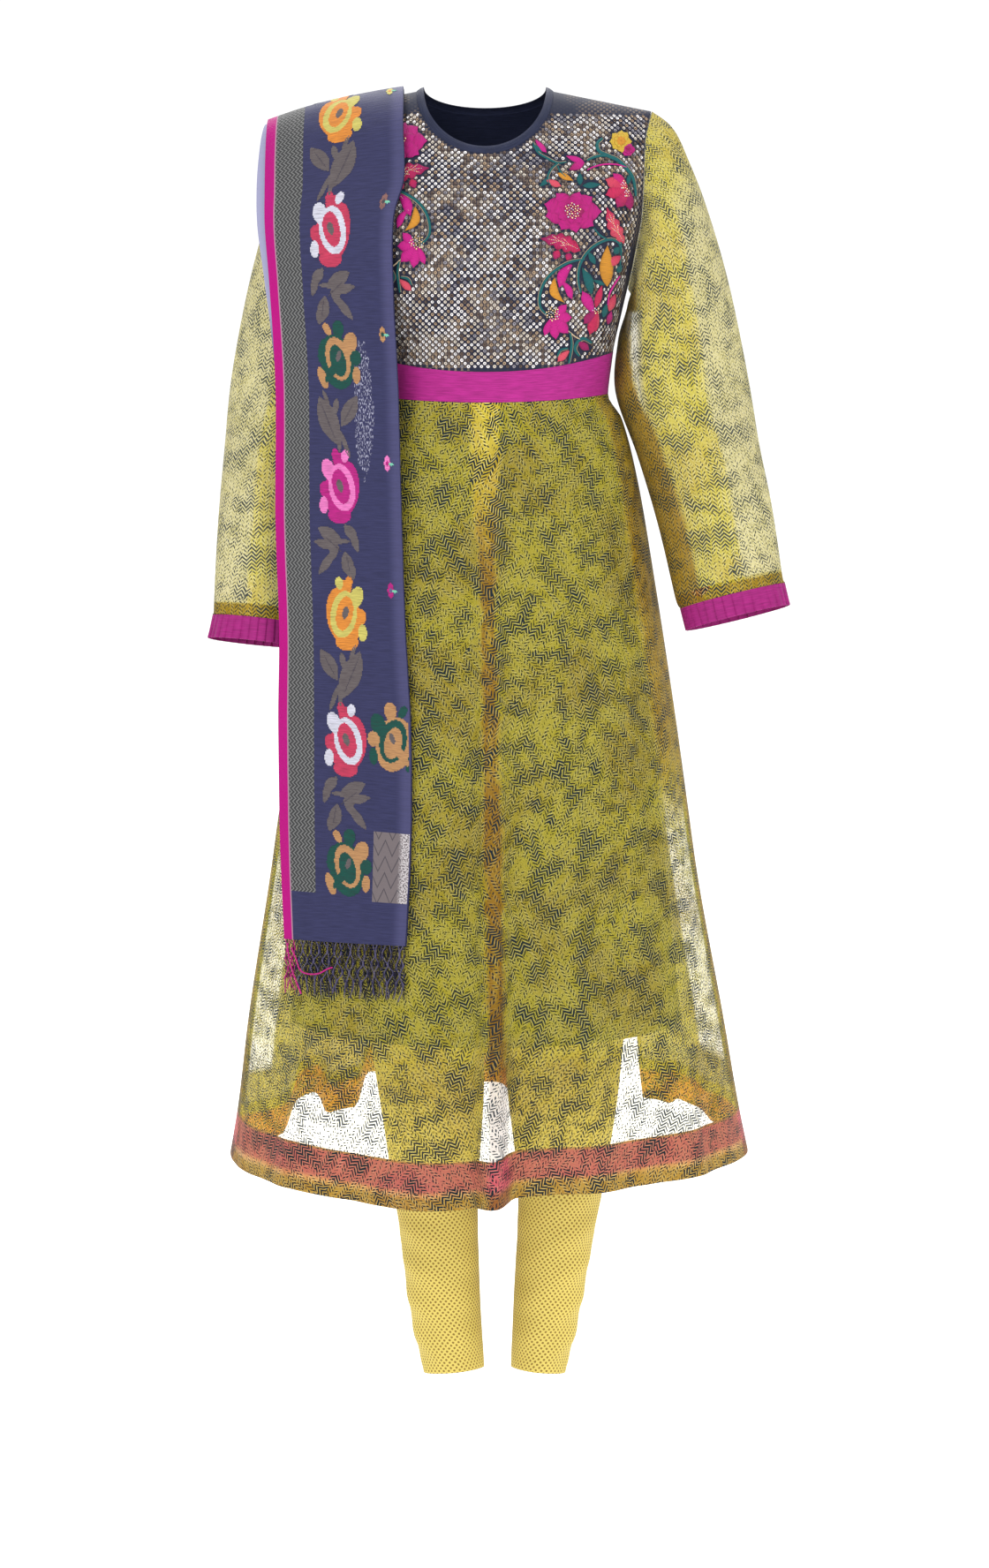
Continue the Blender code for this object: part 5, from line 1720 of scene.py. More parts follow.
@dataclass
class Sequins:
    """Cupped sequins in staggered rows over the front yoke."""

    flat: Unrolled
    across: float = 0.0067
    down: float = 0.0033
    radius: float = 0.00180
    hole: float = 0.00045
    sides: int = 10
    # darker round the hole, where the navy net shows through, and painted shade on the cupped rim
    hole_and_rim_shade: tuple[Colour, ...] = ((0.30, 0.28, 0.28), (1.0, 1.0, 1.0), (0.44, 0.38, 0.34),
                                      (0.20, 0.16, 0.14))
    # silver, gold and bronze, with near-black and grey tones that paint sequins mirroring the dark:
    # painted reflection
    shades: tuple[Colour, ...] = ((0.92, 0.91, 0.92), (0.72, 0.66, 0.57), (0.44, 0.32, 0.21),
                                  (0.13, 0.090, 0.070), (0.30, 0.29, 0.33))
    shade_limits: tuple[float, ...] = (0.38, 0.64, 0.81, 0.92)   # lots at which they change
    edge: float = 0.0026
    height: float = 0.30             # of the rows of sequins, laid flat
    plain_strip: float = 0.0050      # below the shoulder seam
    hidden_x: float = -0.108         # nothing shows beyond, under the scarf

    def shape(self) -> tuple[Array, Array]:
        """One sequin: a dished ring with a thick rim.

        Returns:
            Its points and faces, 1 in radius.
        """
        turn = circle(self.sides)
        hole = self.hole / self.radius
        ring = [np.stack([r * np.cos(turn), r * np.sin(turn), h + 0 * turn], -1)
                for r, h in ((hole, 0.02), (0.72, 0.05), (1.0, 0.22), (1.0, 0.05))]
        return np.concatenate(ring), quads(numbered(len(ring), self.sides, True))

    def spots(self) -> Array:
        """Where the sequins go, clear of the yoke's edges.

        Returns:
            The places, any x 3.
        """
        found = []
        for row in range(2, int(self.height / self.down)):
            steps = np.arange(-26, 27) * self.across - (row % 2) * self.across / 2
            points = self.flat.point(steps, row * self.down)
            x, z = points[:, 0], points[:, 2]
            angle = angle_at(x, z)
            limit = yoke_reach(x, z) - self.edge * 0.6
            neck = (x / (NECK_HALF_WIDTH + self.edge)) ** 2
            neck_z = -NECK_DEPTH[False] * np.sqrt(np.maximum(1 - neck, 0)) - self.edge
            keep = ((np.abs(x) < limit) & (z < ridge(x) - self.plain_strip) & (x > self.hidden_x)
                    & (z > band_top(angle, False) + self.edge)
                    & ((neck >= 1) | (z < neck_z)))
            found.append(points[keep])
        return np.concatenate(found)

    def build(self, covered: BVHTree) -> None:
        """Sew them on wherever no embroidery lies.

        Args:
            covered: the embroidery.
        """
        spots = self.spots()
        bare = [covered.find_nearest(Vector(p), 0.0016)[0] is None for p in spots]
        spots = spots[bare]
        normals = body_normal(spots)
        rng = np.random.default_rng(7)
        lean = unit(normals + rng.normal(0, 0.075, spots.shape))
        frames = frames_on(lean, (0.2, 0.1, 1.0))
        size = self.radius * rng.uniform(0.90, 1.06, len(spots))
        # Painted reflection: more dark sequins in drifting patches and toward the shoulder
        cloud = (np.sin(spots[:, 0] * 41 + 0.6) * np.sin(spots[:, 2] * 37 + 1.1)
                 + 0.5 * np.sin(spots[:, 0] * 97 - spots[:, 2] * 71))
        upper = ease((spots[:, 2] + 0.19) / 0.07)
        lot = rng.uniform(0, 1, len(spots)) - 0.20 * cloud + 0.13 * upper
        pick = np.digitize(lot, self.shade_limits)
        colours = np.array(self.shades)[pick] * rng.uniform(0.80, 1.0, (len(spots), 1))
        ringed = np.array(self.hole_and_rim_shade)[:, None] * np.ones((1, self.sides, 1))
        colours = colours[:, None] * ringed.reshape(1, -1, 3)
        bits = Bits()
        bits.stamp(self.shape(), spots + normals * 0.00018, frames, size, colours)
        put(bits.mesh("yoke_sequins"), SUIT.sequin, None)


class Stitch(Enum):
    """Outlines of a stitched shape."""

    PETAL = "petal"
    LEAF = "leaf"
    JAGGED = "jagged"

    def half_width(self, along: Array) -> Array:
        """Share of the full half width at shares of the length.

        Args:
            along: shares of the length.

        Returns:
            The shares of the half width.
        """
        if self is Stitch.PETAL:
            return np.sin(np.pi * (0.10 + 0.90 * along) ** 1.25) ** 0.55 * (0.55 + 0.45 * along)
        lens = np.sin(np.pi * along ** 0.85) ** 0.9
        if self is Stitch.LEAF:
            return lens
        return lens * (0.66 + 0.34 * np.abs(np.sin(along * np.pi * 4.5)))


@dataclass
class Embroidery:
    """Flowers, leaves and stems in satin stitch with beaded middles, worked on both sides."""

    mirrored_rise: float = 0.072
    dome: float = 0.0010
    bead_step: float = 0.0017
    side_margin: float = 0.0015      # kept clear inside the side seams and the armholes
    neck_margin: float = 0.004
    foot_margin: float = 0.001
    shoulder_margin: float = 0.011
    hidden_x: float = -0.125         # nothing is worked beyond, under the scarf
    cloths: Bits = field(default_factory=Bits)
    beads: Bits = field(default_factory=Bits)
    layer: int = 0

    def fits(self, x: Array, z: Array) -> bool:
        """Whether a shape lies wholly on the front yoke.

        Args:
            x: across.
            z: height.

        Returns:
            True if it does.
        """
        limit = yoke_reach(x, z) - self.side_margin
        neck = np.abs(x) < NECK_HALF_WIDTH + self.neck_margin
        round_neck = np.maximum(1 - (x / (NECK_HALF_WIDTH + 2 * self.neck_margin)) ** 2, 0)
        above = neck & (z > -NECK_DEPTH[False] * np.sqrt(round_neck) - self.foot_margin)
        foot = band_top(angle_at(x, z), False) + 0.8 * self.foot_margin
        return bool((np.abs(x) < limit).all() and (z < ridge(x) - self.shoulder_margin).all()
                    and (z > foot).all() and not above.any() and (x > self.hidden_x).all())

    def sheet(self, x: Array, z: Array, height: Array, colours: Array, place: Array) -> bool:
        """Lay a grid of stitches on the yoke.

        Args:
            x: across.
            z: up.
            height: how far each point stands off the net.
            colours: a colour for each point.
            place: each point's place along its threads.

        Returns:
            Whether it fitted.
        """
        if not self.fits(x, z):
            return False
        self.layer += 1
        points = on_front(x, z, height + 0.00004 * (self.layer % 12))
        self.cloths.add(points, quads(numbered(*x.shape)), colours.reshape(-1, 3), place)
        return True

    def petal(self, stitch: Stitch, root: Array, tip: Array, width: float, bend: float,
              shades: tuple[str, str], lift: float = 0.0) -> None:
        """One petal or leaf.

        Args:
            stitch: its outline.
            root: x and z where it grows from.
            tip: x and z of its end.
            width: its width.
            bend: how far its middle bows aside.
            shades: yarns at the root and at the tip.
            lift: how far it stands off the net.
        """
        rows = 28 if stitch is Stitch.JAGGED else 11
        along = np.linspace(0.0, 1.0, rows)[:, None]
        across = np.linspace(-1.0, 1.0, 9)[None]
        way = tip - root
        length = float(np.hypot(*way))
        way = way / length
        side = np.array((-way[1], way[0]))
        half = np.maximum(width / 2 * stitch.half_width(along), 0.0003)
        bow = bend * np.sin(np.pi * along)
        if stitch is Stitch.PETAL:
            along = along - 0.10 * along * across ** 2
        spot = (root + way * (length * along)[..., None]
                + side * (bow + half * across)[..., None])
        rim = (1 - across ** 2) ** 0.5 * np.sin(np.pi * np.clip(along, 0.04, 0.97)) ** 0.4
        height = 0.0002 + lift + self.dome * min(width / 0.014, 1.3) * rim
        groove = 1 - 0.00022 / self.dome * (np.abs(across) < 0.1) * (stitch is not Stitch.PETAL)
        first, last = (np.array(YARN[name]) for name in shades)
        mix = along[..., None] ** 1.3
        # Painted shade: each petal darkens toward its edges, where its dome falls away
        shade = (first * (1 - mix) + last * mix) * (0.62 + 0.38 * rim)[..., None]
        place = np.stack(np.broadcast_arrays(along * length, across * half), -1)
        fitted = self.sheet(spot[..., 0], spot[..., 1], height * groove, shade, place)
        if fitted and stitch is Stitch.JAGGED and length > 0.018:
            self.veins(root, way, side, length, width, bend)

    def veins(self, root: Array, way: Array, side: Array, length: float, width: float,
              bend: float) -> None:
        """Lines of gilt beads along a leaf's middle and out to its lobes.

        Args:
            root: x and z of the leaf's root.
            way: unit vector to its tip.
            side: unit vector across it.
            length: its length.
            width: its width.
            bend: how far its middle bows aside.
        """
        for share, lean in ((0.0, 0.0), (0.30, 1.0), (0.30, -1.0), (0.55, 1.0), (0.55, -1.0)):
            steps = np.arange(0.10, 0.85, self.bead_step / length) if lean == 0 else (
                share + np.arange(0.0, 0.22, self.bead_step * 0.8 / length))
            aside = bend * np.sin(np.pi * steps) + lean * (steps - share) * width * 1.1
            spots = root + way * (length * steps)[:, None] + side * aside[:, None]
            self.bead_row(spots, self.dome * 1.1 + 0.0003)

    def flower(self, centre: Array, reach: Array, petals: int, shades: tuple[str, str],
               bead_reach: float) -> None:
        """A round flower of overlapping petals in two rings.

        Args:
            centre: x and z of its middle.
            reach: its half width and half height.
            petals: petals in each ring.
            shades: yarns of the petals and of the middle.
            bead_reach: radius of the beaded middle, or 0.
        """
        for ring, (size, name, lift) in enumerate(((1.0, shades[0], 0.0), (0.62, shades[0], 0.0007),
                                                   (0.42, shades[1], 0.0012))):
            for k in range(petals):
                turn = 2 * np.pi * (k + 0.5 * ring + 0.15 * math.sin(k * 2.3)) / petals
                way = np.array((math.cos(turn), math.sin(turn))) * reach * size
                wide = 2.5 * float(np.hypot(*way)) * math.sin(math.pi / petals)
                self.petal(Stitch.PETAL, centre, centre + way * (1 + 0.04 * math.cos(k * 1.7)),
                           wide, 0.0, (shades[1], name), lift)
        if bead_reach:
            self.bead_cluster(centre, np.full(2, bead_reach), 34, 0.0026)

    def bead_cluster(self, centre: Array, reach: Array, count: int, lift: float = 0.0010) -> None:
        """Gilt beads packed round a centre.

        Args:
            centre: x and z of its middle.
            reach: its half width and half height.
            count: how many beads.
            lift: how far they stand off the net.
        """
        k = np.arange(count) + 0.5
        turn, far = k * 2.39996, np.sqrt(k / count)
        spots = centre + reach * far[:, None] * np.stack([np.cos(turn), np.sin(turn)], -1)
        self.bead_row(spots, lift, 0.0010)

    def bead_row(self, places: Array, lift: float, size: float = 0.00062) -> None:
        """Beads at the given places, unless any of them falls off the yoke.

        Args:
            places: x and z of each.
            lift: how far they stand off the net.
            size: their radius.
        """
        x, z = places[:, 0], places[:, 1]
        if not self.fits(x, z):
            return
        ring = circle(8)
        levels = ((1.0, -0.2), (0.92, 0.35), (0.55, 0.82), (0.08, 1.0))
        shape = np.concatenate([np.stack([r * np.cos(ring), r * np.sin(ring), h + 0 * ring], -1)
                                for r, h in levels])
        spots = on_front(x, z, lift)
        frames = frames_on(body_normal(spots), (0.0, 0.0, 1.0))
        number = np.arange(len(x))
        tint = np.where((number % 3 == 0)[:, None], YARN["white"], YARN["gilt"])
        self.beads.stamp((shape, quads(numbered(len(levels), len(ring), True))), spots, frames,
                         size * (0.9 + 0.2 * np.sin(number * 5.1)), tint)

    def stem(self, yarn: str, width: float, bends: Array) -> None:
        """A stem along a curve, with a thin light edge.

        Args:
            yarn: its yarn.
            width: its width.
            bends: x and z of points along it.
        """
        steps = np.linspace(0, len(bends) - 1, (len(bends) - 1) * 7 + 1)
        line = through(bends, steps)
        if not self.fits(line[:, 0], line[:, 1]):
            return
        share = np.linspace(0, 1, len(line))
        taper = 0.45 + 0.55 * np.sin(np.pi * np.clip(share * 0.9 + 0.08, 0, 1)) ** 0.7
        side = np.gradient(line, axis=0)
        side = unit(np.stack([-side[:, 1], side[:, 0]], -1))
        across = np.linspace(-1, 1, 5)[None]
        spot = line[:, None] + side[:, None] * (width / 2 * taper[:, None] * across)[..., None]
        rim = np.broadcast_to((1 - across ** 2) ** 0.5, spot.shape[:2])
        # Painted shade and highlight: darker at the stem's edges and lighter along its crown
        shade = np.array(YARN[yarn]) * (0.8 + 0.3 * rim)[..., None]
        reach = arc_lengths(line[:, None], 0)
        place = np.stack(np.broadcast_arrays(reach, across * width), -1)
        self.sheet(spot[..., 0], spot[..., 1], 0.0002 + 0.0007 * rim, shade, place)
        if yarn == "teal" and width > 0.0021:
            edge = line + side * (width / 2 * taper + 0.0003)[:, None]
            points = on_front(edge[:, 0], edge[:, 1], 0.0004)
            self.cloths.tube(points, 0.00032, np.array(YARN["beige"]) * 0.8, sides=4)

    def build(self) -> BVHTree:
        """Work both sides, of which the right one slips under the scarf.

        Returns:
            The stitched shapes, so that the sequins can keep clear.
        """
        for side, rise in ((1.0, 0.0), (-1.0, self.mirrored_rise)):
            turn = np.array((side, 1.0)) / 1000
            shift = np.array((0.0, rise))
            for row in rows_of(STEMS):
                bends = np.array(row[2:]).reshape(-1, 2) * turn + shift
                self.stem(row[0], row[1] / 1000, bends)
            for first, second, x, z, wide, high, petals, bead in rows_of(FLOWERS):
                self.flower(np.array((x, z)) * turn + shift, np.array((wide, high)) / 1000,
                            int(petals), (first, second), bead / 1000)
            for kind, first, second, x, z, tip_x, tip_z, width, bend in rows_of(STITCHED):
                self.petal(Stitch(kind), np.array((x, z)) * turn + shift,
                           np.array((tip_x, tip_z)) * turn + shift, width / 1000,
                           bend * side / 1000, (first, second))
            for x, z, wide, high, count in rows_of(BEADED):
                self.bead_cluster(np.array((x, z)) * turn + shift, np.array((wide, high)) / 1000,
                                  int(count))
        put(self.cloths.mesh("yoke_embroidery"), SUIT.thread, None)
        put(self.beads.mesh("yoke_beads"), SUIT.bead, None)
        points, faces = np.concatenate(self.cloths.points), np.concatenate(self.cloths.faces)
        return BVHTree.FromPolygons(points.tolist(), faces.tolist())


@dataclass
class Skirt:
    """The sheer skirt, its facings and the lining behind it."""

    columns: int = 190
    rows: int = 130
    facing_rows: int = 10
    folded_foot: float = 0.043           # share of the length that the facing's folded, deeper-coloured foot takes
    deep_lift: float = 0.03          # a fold that lifts the hem by more than this
    deep_lean: float = 0.012         # leans outward by this much
    gore_x: float = 0.150            # gore seams to each side of the middle
    pleat_x: tuple[float, float] = (-0.001, 0.0155)      # middle pleat at the waist and the hem
    pleat_levels: tuple[float, ...] = (0.0, 0.13, 0.19, 0.55, 1.0)
    pleat_half: tuple[float, ...] = (0.0125, 0.0115, 0.0050, 0.0065, 0.0085)
    turned_rise: float = 0.0150      # top of the turned edge, above the hem
    facing_rise: tuple[float, float] = (0.0480, 0.0350)  # top of the facing, front and back
    clear_rise: float = 0.130        # the front looks clearer below, where no lining hangs
    panel_flat: tuple[Flat, Flat] = ((0.80, 0.84), (1.10, 0.84))         # front and back
    panel_area: float = 0.507
    facing_flat: tuple[Flat, Flat] = ((0.80, 0.0345), (1.10, 0.049))
    lining_flat: tuple[Flat, Flat] = ((0.60, 0.68), (0.54, 0.68))
    lining_area: tuple[float, float] = (0.325, 0.304)
    lining_columns: int = 90
    lining_rows: int = 50

    def point(self, angle: Array, level: Array, back: bool) -> Array:
        """Points of the skirt from waist seam (level 0) to hem (level 1).

        Args:
            angle: 0 at the middle, a quarter turn at the side seams.
            level: share of the way down.
            back: whether they are on the back.

        Returns:
            The points.
        """
        angle, level = np.broadcast_arrays(angle, level)
        top = band_foot(angle, back) - SEAM / 2
        hem = HEM_Z + HEM_RISE[back].read("rise", np.degrees(angle))
        push, aside = np.zeros_like(angle), np.zeros_like(angle)
        for x, before, after, depth, top_depth, start, opening, lift in FOLDS[back].rows:
            centre = math.asin(x / HEM_REACH[0])
            reach = np.where(angle < centre, before, after) / (HEM_REACH[0] * math.cos(centre))
            z = top + (hem - top) * level
            if top_depth:
                reach = reach * HEM_REACH[0] / half_width(angle, z)
            off_centre = np.minimum(np.abs(angle - centre) / reach, 1.0)
            bell = np.cos(np.pi / 2 * off_centre ** (2.4 if back else 1.0)) ** 2
            grow = np.maximum((start - z) / (start - HEM_Z), 0.0) ** opening
            push = push + bell * (top_depth * ease(level / 0.05) + (depth - top_depth) * grow)
            hem = hem + lift * bell
            if lift > self.deep_lift:
                aside = aside + self.deep_lean * bell * grow
        points = body_point(angle, top + (hem - top) * level, back)
        outward = np.stack([points[..., 0] / HEM_REACH[0], points[..., 1] / HEM_REACH[1],
                            0 * push], -1)
        points[..., 0] += aside
        return points + ((0, 1, 0) if back else unit(outward)) * push[..., None]

    def cloth(self, back: bool) -> Cloth:
        """One panel of the skirt with soft ripples down its length.

        Args:
            back: whether it is the back one.

        Returns:
            The cloth with its marks.
        """
        angles = np.linspace(-np.pi / 2, np.pi / 2, self.columns)[None]
        steps = np.linspace(0, 1, self.rows)
        levels = np.interp(steps, (0, 0.1, 0.9, 1), (0, 0.09, 0.92, 1))[:, None]
        cloth = Cloth(self.point(angles, levels, back))
        fade = ease(levels / 0.3) * np.cos(angles)
        wave = (np.sin(angles * 17 + 1.3 * levels) + 0.6 * np.sin(angles * 31 + 2.0)
                + 0.4 * np.sin(angles * 47 - 3.0 * levels))
        cloth = cloth.moved(0.0011 * fade * (wave + 1.2))
        rise = cloth.place[..., 1]
        x = cloth.points[..., 0]
        off_pleat = np.abs(x - self.pleat_x[0] - (self.pleat_x[1] - self.pleat_x[0]) * levels)
        half = np.interp(levels, self.pleat_levels, self.pleat_half)
        ragged = (0.0010 * np.sin(91 * rise + 3 * np.sin(23 * rise)) + 0.0007 * np.sin(260 * rise)
                  + 0.0006 * np.sin(170 * rise + np.sign(x - self.pleat_x[0]) * 1.4))
        pleat = 1 - ease((off_pleat - half + ragged) / 0.0055)
        # The pleat's deeper orange is its doubled cloth with painted shade; paler near the waist and
        # lighter down its middle
        tone = np.interp(levels, (0.0, 0.12, 0.2, 1.0), (0.42, 0.55, 0.92, 1.0))
        tone = tone - 0.18 * np.exp(-(off_pleat / 0.003) ** 2) * (1 + np.sin(57 * rise)) / 2
        gore = np.exp(-((np.abs(x) - self.gore_x) / 0.0009) ** 2) * ease((0.62 - rise) / 0.05)
        # Painted shade: the sides, where the skirt turns away, take the deeper brown-orange and close
        # up
        out = np.abs(np.sin(angles)) + 0 * rise
        edge = ease((out - 0.978) / 0.006)
        high = ease((rise - 0.33) / 0.14)
        side = np.maximum(edge, high * ease((out - 0.835) / 0.06))
        single = (ease((out - 0.885) / 0.006) * (1 - edge) * (1 - high)
                  * ease((rise - 0.085) / 0.004))
        turned = 1 - ease((rise - self.turned_rise) / 0.0012)
        facing = 1 - ease((rise - self.facing_rise[back]) / 0.0012)
        pleat = 0 * pleat if back else pleat
        low = 1 - ease((rise - self.clear_rise) / 0.020)
        open_part = 0 * rise if back else 0.30 * low * (1 - facing)
        lapped = 0.45 + 0.55 * ease(rise / 0.30)
        cloth.marks = {
            "Band": 0 * rise if back else (facing - turned) * 0.80 + 0.12 * turned,
            "LayersAndPaintedLight": np.clip(pleat * tone + (0.95 * facing if back else 0.70 * turned)
                             + 0.78 * side + 0.3 * gore, 0, 1),
            "Doubled": np.clip(pleat * lapped + (0.85 if back else 0.45) * facing + turned
                               + side + 0.35 * gore - open_part
                               - (0.6 if back else 0.0) * single, -0.9, 1),
        }
        return cloth

    def lining_cloth(self, back: bool) -> Cloth:
        """One panel of the lining that hangs from the waist seam.

        Args:
            back: whether it is the back one.

        Returns:
            The cloth.
        """
        column = "back" if back else "front"
        angles = np.linspace(-np.pi / 2, np.pi / 2, self.lining_columns)
        z = band_foot(angles, back) - SEAM
        first = body_point(angles, z, back)
        first[:, 0] *= 1 - LINING_INSET / half_width(angles, z)
        first[:, 1] *= 1 - LINING_INSET / BODY.read(column, z)
        rows = [first]
        for z, wide, front_depth, back_depth in LINING.rows:
            y = (back_depth if back else front_depth) * np.cos(angles) + HALF_SEAM
            rows.append(np.stack([wide * np.sin(angles), y if back else -y, z + 0 * angles], -1))
        rows = through(np.array(rows), np.linspace(0, len(rows) - 1, self.lining_rows))
        return Cloth(rows)

    def build(self) -> None:
        """Make the panels, their facings and the lining."""
        for back, side in ((False, "front"), (True, "back")):
            cloth = self.cloth(back)
            panel = put(cloth.mesh(f"skirt_{side}_organza", 0.0), SUIT.sheer, "sheer_print",
                        f"skirt_{side}")
            first, last = (SKIRT_LEVELS[k] for k in FACING_LEVELS[back])
            angles = np.linspace(-np.pi / 2, np.pi / 2, self.columns)[None]
            levels = np.linspace(first, last, self.facing_rows)[:, None]
            facing = Cloth(self.point(angles, levels, back)).moved(-LAYER_GAP)
            blank = np.zeros(facing.points.shape[:2])
            low = levels > last - self.folded_foot
            facing.marks = {"LayersAndPaintedLight": blank + low, "Band": blank, "Doubled": blank + 0.6 * low}
            strip = put(facing.mesh(f"hem_facing_{side}_strip", 0.0),
                        SUIT.backing if back else SUIT.coral,
                        "sheer_print" if back else "coral_facing", f"hem_facing_{side}")
            lining = put(self.lining_cloth(back).mesh(f"lining_{side}_cloth", 0.0), SUIT.lining,
                         "lining", f"lining_{side}")


@dataclass
class Sleeves:
    """Both sleeves with their turned hems and pleated cuffs."""

    sides: int = 96
    rows: int = 150
    ease_gap: float = 0.0010
    pleats: int = 34
    pleat_depth: float = 0.0022
    pleat_shares: tuple[float, ...] = (0, 0.15, 0.45, 0.80, 0.93, 1.0)
    pleat_climb: tuple[float, ...] = (0.05, 0.28, 0.75, 1.0, 0.85, 0.05)
    per_pleat: int = 9
    turned_rise: float = 0.012       # top of the turned hem, above the sleeve's foot
    strip_z: tuple[float, float] = (-0.228, -0.350)      # ends of the strip where it is single
    sleeve_flat: Flat = (0.42, 0.54)
    sleeve_area: float = 0.155
    hem_flat: tuple[Flat, Flat] = ((0.297, 0.0136), (0.265, 0.0136))     # left and right
    cuff_flat: Flat = (0.33, 0.0245)

    def rings(self, label: str) -> Array:
        """The armhole's ring, the sleeve's rings and the cuff's foot.

        Args:
            label: left or right.

        Returns:
            Rings x points x 3.
        """
        side = 1 if label == "left" else -1
        turns = circle(self.sides)
        half_height = (-SHOULDER_DROP - UNDERARM_Z) / 2
        z = UNDERARM_Z + half_height * (1 + np.cos(turns))
        ring = np.empty((self.sides, 3))
        for back in (False, True):
            here = (np.sin(turns) < 0) == back
            x = ARMHOLE.read("back" if back else "front", z[here])
            ring[here] = body_point(angle_at(x, z[here]), z[here], back, share=0.0)
        ring[:, 0] += self.ease_gap
        rows = [ring]
        for _, ox, oz, ix, iz, y, depth, tilt in SLEEVE_RINGS[label].rows:
            outer, inner = np.array((ox, 0, oz)), np.array((ix, 0, iz))
            lean = math.radians(tilt)
            forward = np.array((0, -math.cos(lean), math.sin(lean))) * depth
            rows.append((outer + inner) / 2 + np.array((0, y, 0))
                        + np.outer(np.cos(turns), (outer - inner) / 2)
                        + np.outer(np.sin(turns), forward))
        return np.array(rows) * (side, 1, 1)

    def zones(self, z: Array, across: Array, down: Array, turned: Array) -> dict[str, Array]:
        """Where the organza looks brown, golden or pale.

        Args:
            z: height of each point.
            across: its place from the inner edge (0) to the outer one (1).
            down: its place from the armhole (0) to the hem (1).
            turned: whether it lies in the turned hem.

        Returns:
            The cloth's marks.
        """
        pale = ease((across - 0.74 + 0.16 * down) / 0.02) * ease((down - 0.15) / 0.2)
        share = (self.strip_z[0] - z) / (self.strip_z[0] - self.strip_z[1])
        left, right = 0.07 + 0.11 * share, 0.20 - 0.02 * share
        strip = (ease((across - left) / 0.02) * (1 - ease((across - right) / 0.02))
                 * (share > 0) * (share < 1))
        brown = 1 - ease((across - 0.13 - 0.05 * ease(share)) / 0.03)
        brown = brown * ease(down / 0.3) * (1 - strip)
        return {"LayersAndPaintedLight": np.clip(brown * 0.9 + turned * 0.75, 0, 1),
                "Band": np.clip(pale * 0.85 + strip, 0, 1) * (1 - turned),
                "Doubled": np.clip(brown * 0.6 + turned * 0.6 + 0.15 - 0.32 * pale - 0.7 * strip,
                                   -0.55, 0.95)}

    def build_one(self, label: str) -> None:
        """Make one sleeve, its turned hem and its cuff.

        Args:
            label: left or right.
        """
        rings = self.rings(label)
        last = len(rings) - 2
        stops = np.linspace(0, last, self.rows)
        points = through(rings[:-1], stops)
        cloth = Cloth(points, True)
        down = stops[:, None] / last
        turns = circle(self.sides)[None]
        crease = (np.sin(3 * turns + 5 * down) * 0.6 + np.sin(5 * turns - 9 * down + 1.0) * 0.4
                  + np.sin(2 * turns + 16 * down) * 0.3)
        cloth = cloth.moved(0.0022 * crease * ease(down / 0.2) * ease((1 - down) / 0.12))
        rise = cloth.place[:, :-1, 1]
        turned = rise < self.turned_rise
        cloth.marks = self.zones(cloth.points[..., 2], (1 + np.cos(turns)) / 2, down, turned)
        sleeve = put(cloth.mesh(f"sleeve_{label}_organza", 0.0), SUIT.sleeve, "sheer_print",
                     f"sleeve_{label}")
        hem_stops = np.linspace(last - 1, last, 6)
        hem = Cloth(through(rings[:-1], hem_stops), True).moved(-LAYER_GAP)
        blank = np.zeros(hem.points.shape[:2])
        hem.marks = {"LayersAndPaintedLight": blank + 0.3, "Band": blank, "Doubled": blank}
        strip = put(hem.mesh(f"sleeve_hem_{label}_strip", 0.0), SUIT.turned, "sheer_print",
                    f"sleeve_hem_{label}")
        self.cuff(label, rings[-2], rings[-1])

    def cuff(self, label: str, top: Array, foot: Array) -> None:
        """Make the band of knife pleats below a sleeve.

        Args:
            label: left or right.
            top: the sleeve's last ring.
            foot: the cuff's lower ring.
        """
        share = np.arange(self.pleats * self.per_pleat) / self.per_pleat
        turn = share / self.pleats * self.sides
        k = turn.astype(int)
        t = (turn - k)[:, None]
        ring_top = top[k % self.sides] * (1 - t) + top[(k + 1) % self.sides] * t
        ring_foot = foot[k % self.sides] * (1 - t) + foot[(k + 1) % self.sides] * t
        climb = np.interp(share % 1.0, self.pleat_shares, self.pleat_climb)
        lot = np.sin(share.astype(int) * 12.9898) * 43758.5453
        lot = (lot - np.floor(lot))[None]
        drop = np.linspace(0.0, 1.0, 9)[:, None]
        rows = ring_top[None] * (1 - drop[..., None]) + ring_foot[None] * drop[..., None]
        rows[..., 2] -= 2 * SEAM * (1 - drop)
        out = unit(rows - rows.mean(axis=1, keepdims=True))
        depth = self.pleat_depth * (climb[None] - 0.7) * (0.55 + 0.45 * drop)
        flare = (lot - 0.5) * 0.0016 * drop + 0.0008 * np.sin(share / 3.1)[None] * drop
        cloth = Cloth(rows + out * (depth + flare)[..., None], True)
        piece = put(cloth.mesh(f"cuff_{label}_pleats", 0.0006), SUIT.pleated, "magenta_silk",
                    f"cuff_{label}")

    def build(self) -> None:
        """Make both sides."""
        for label in ("left", "right"):
            self.build_one(label)


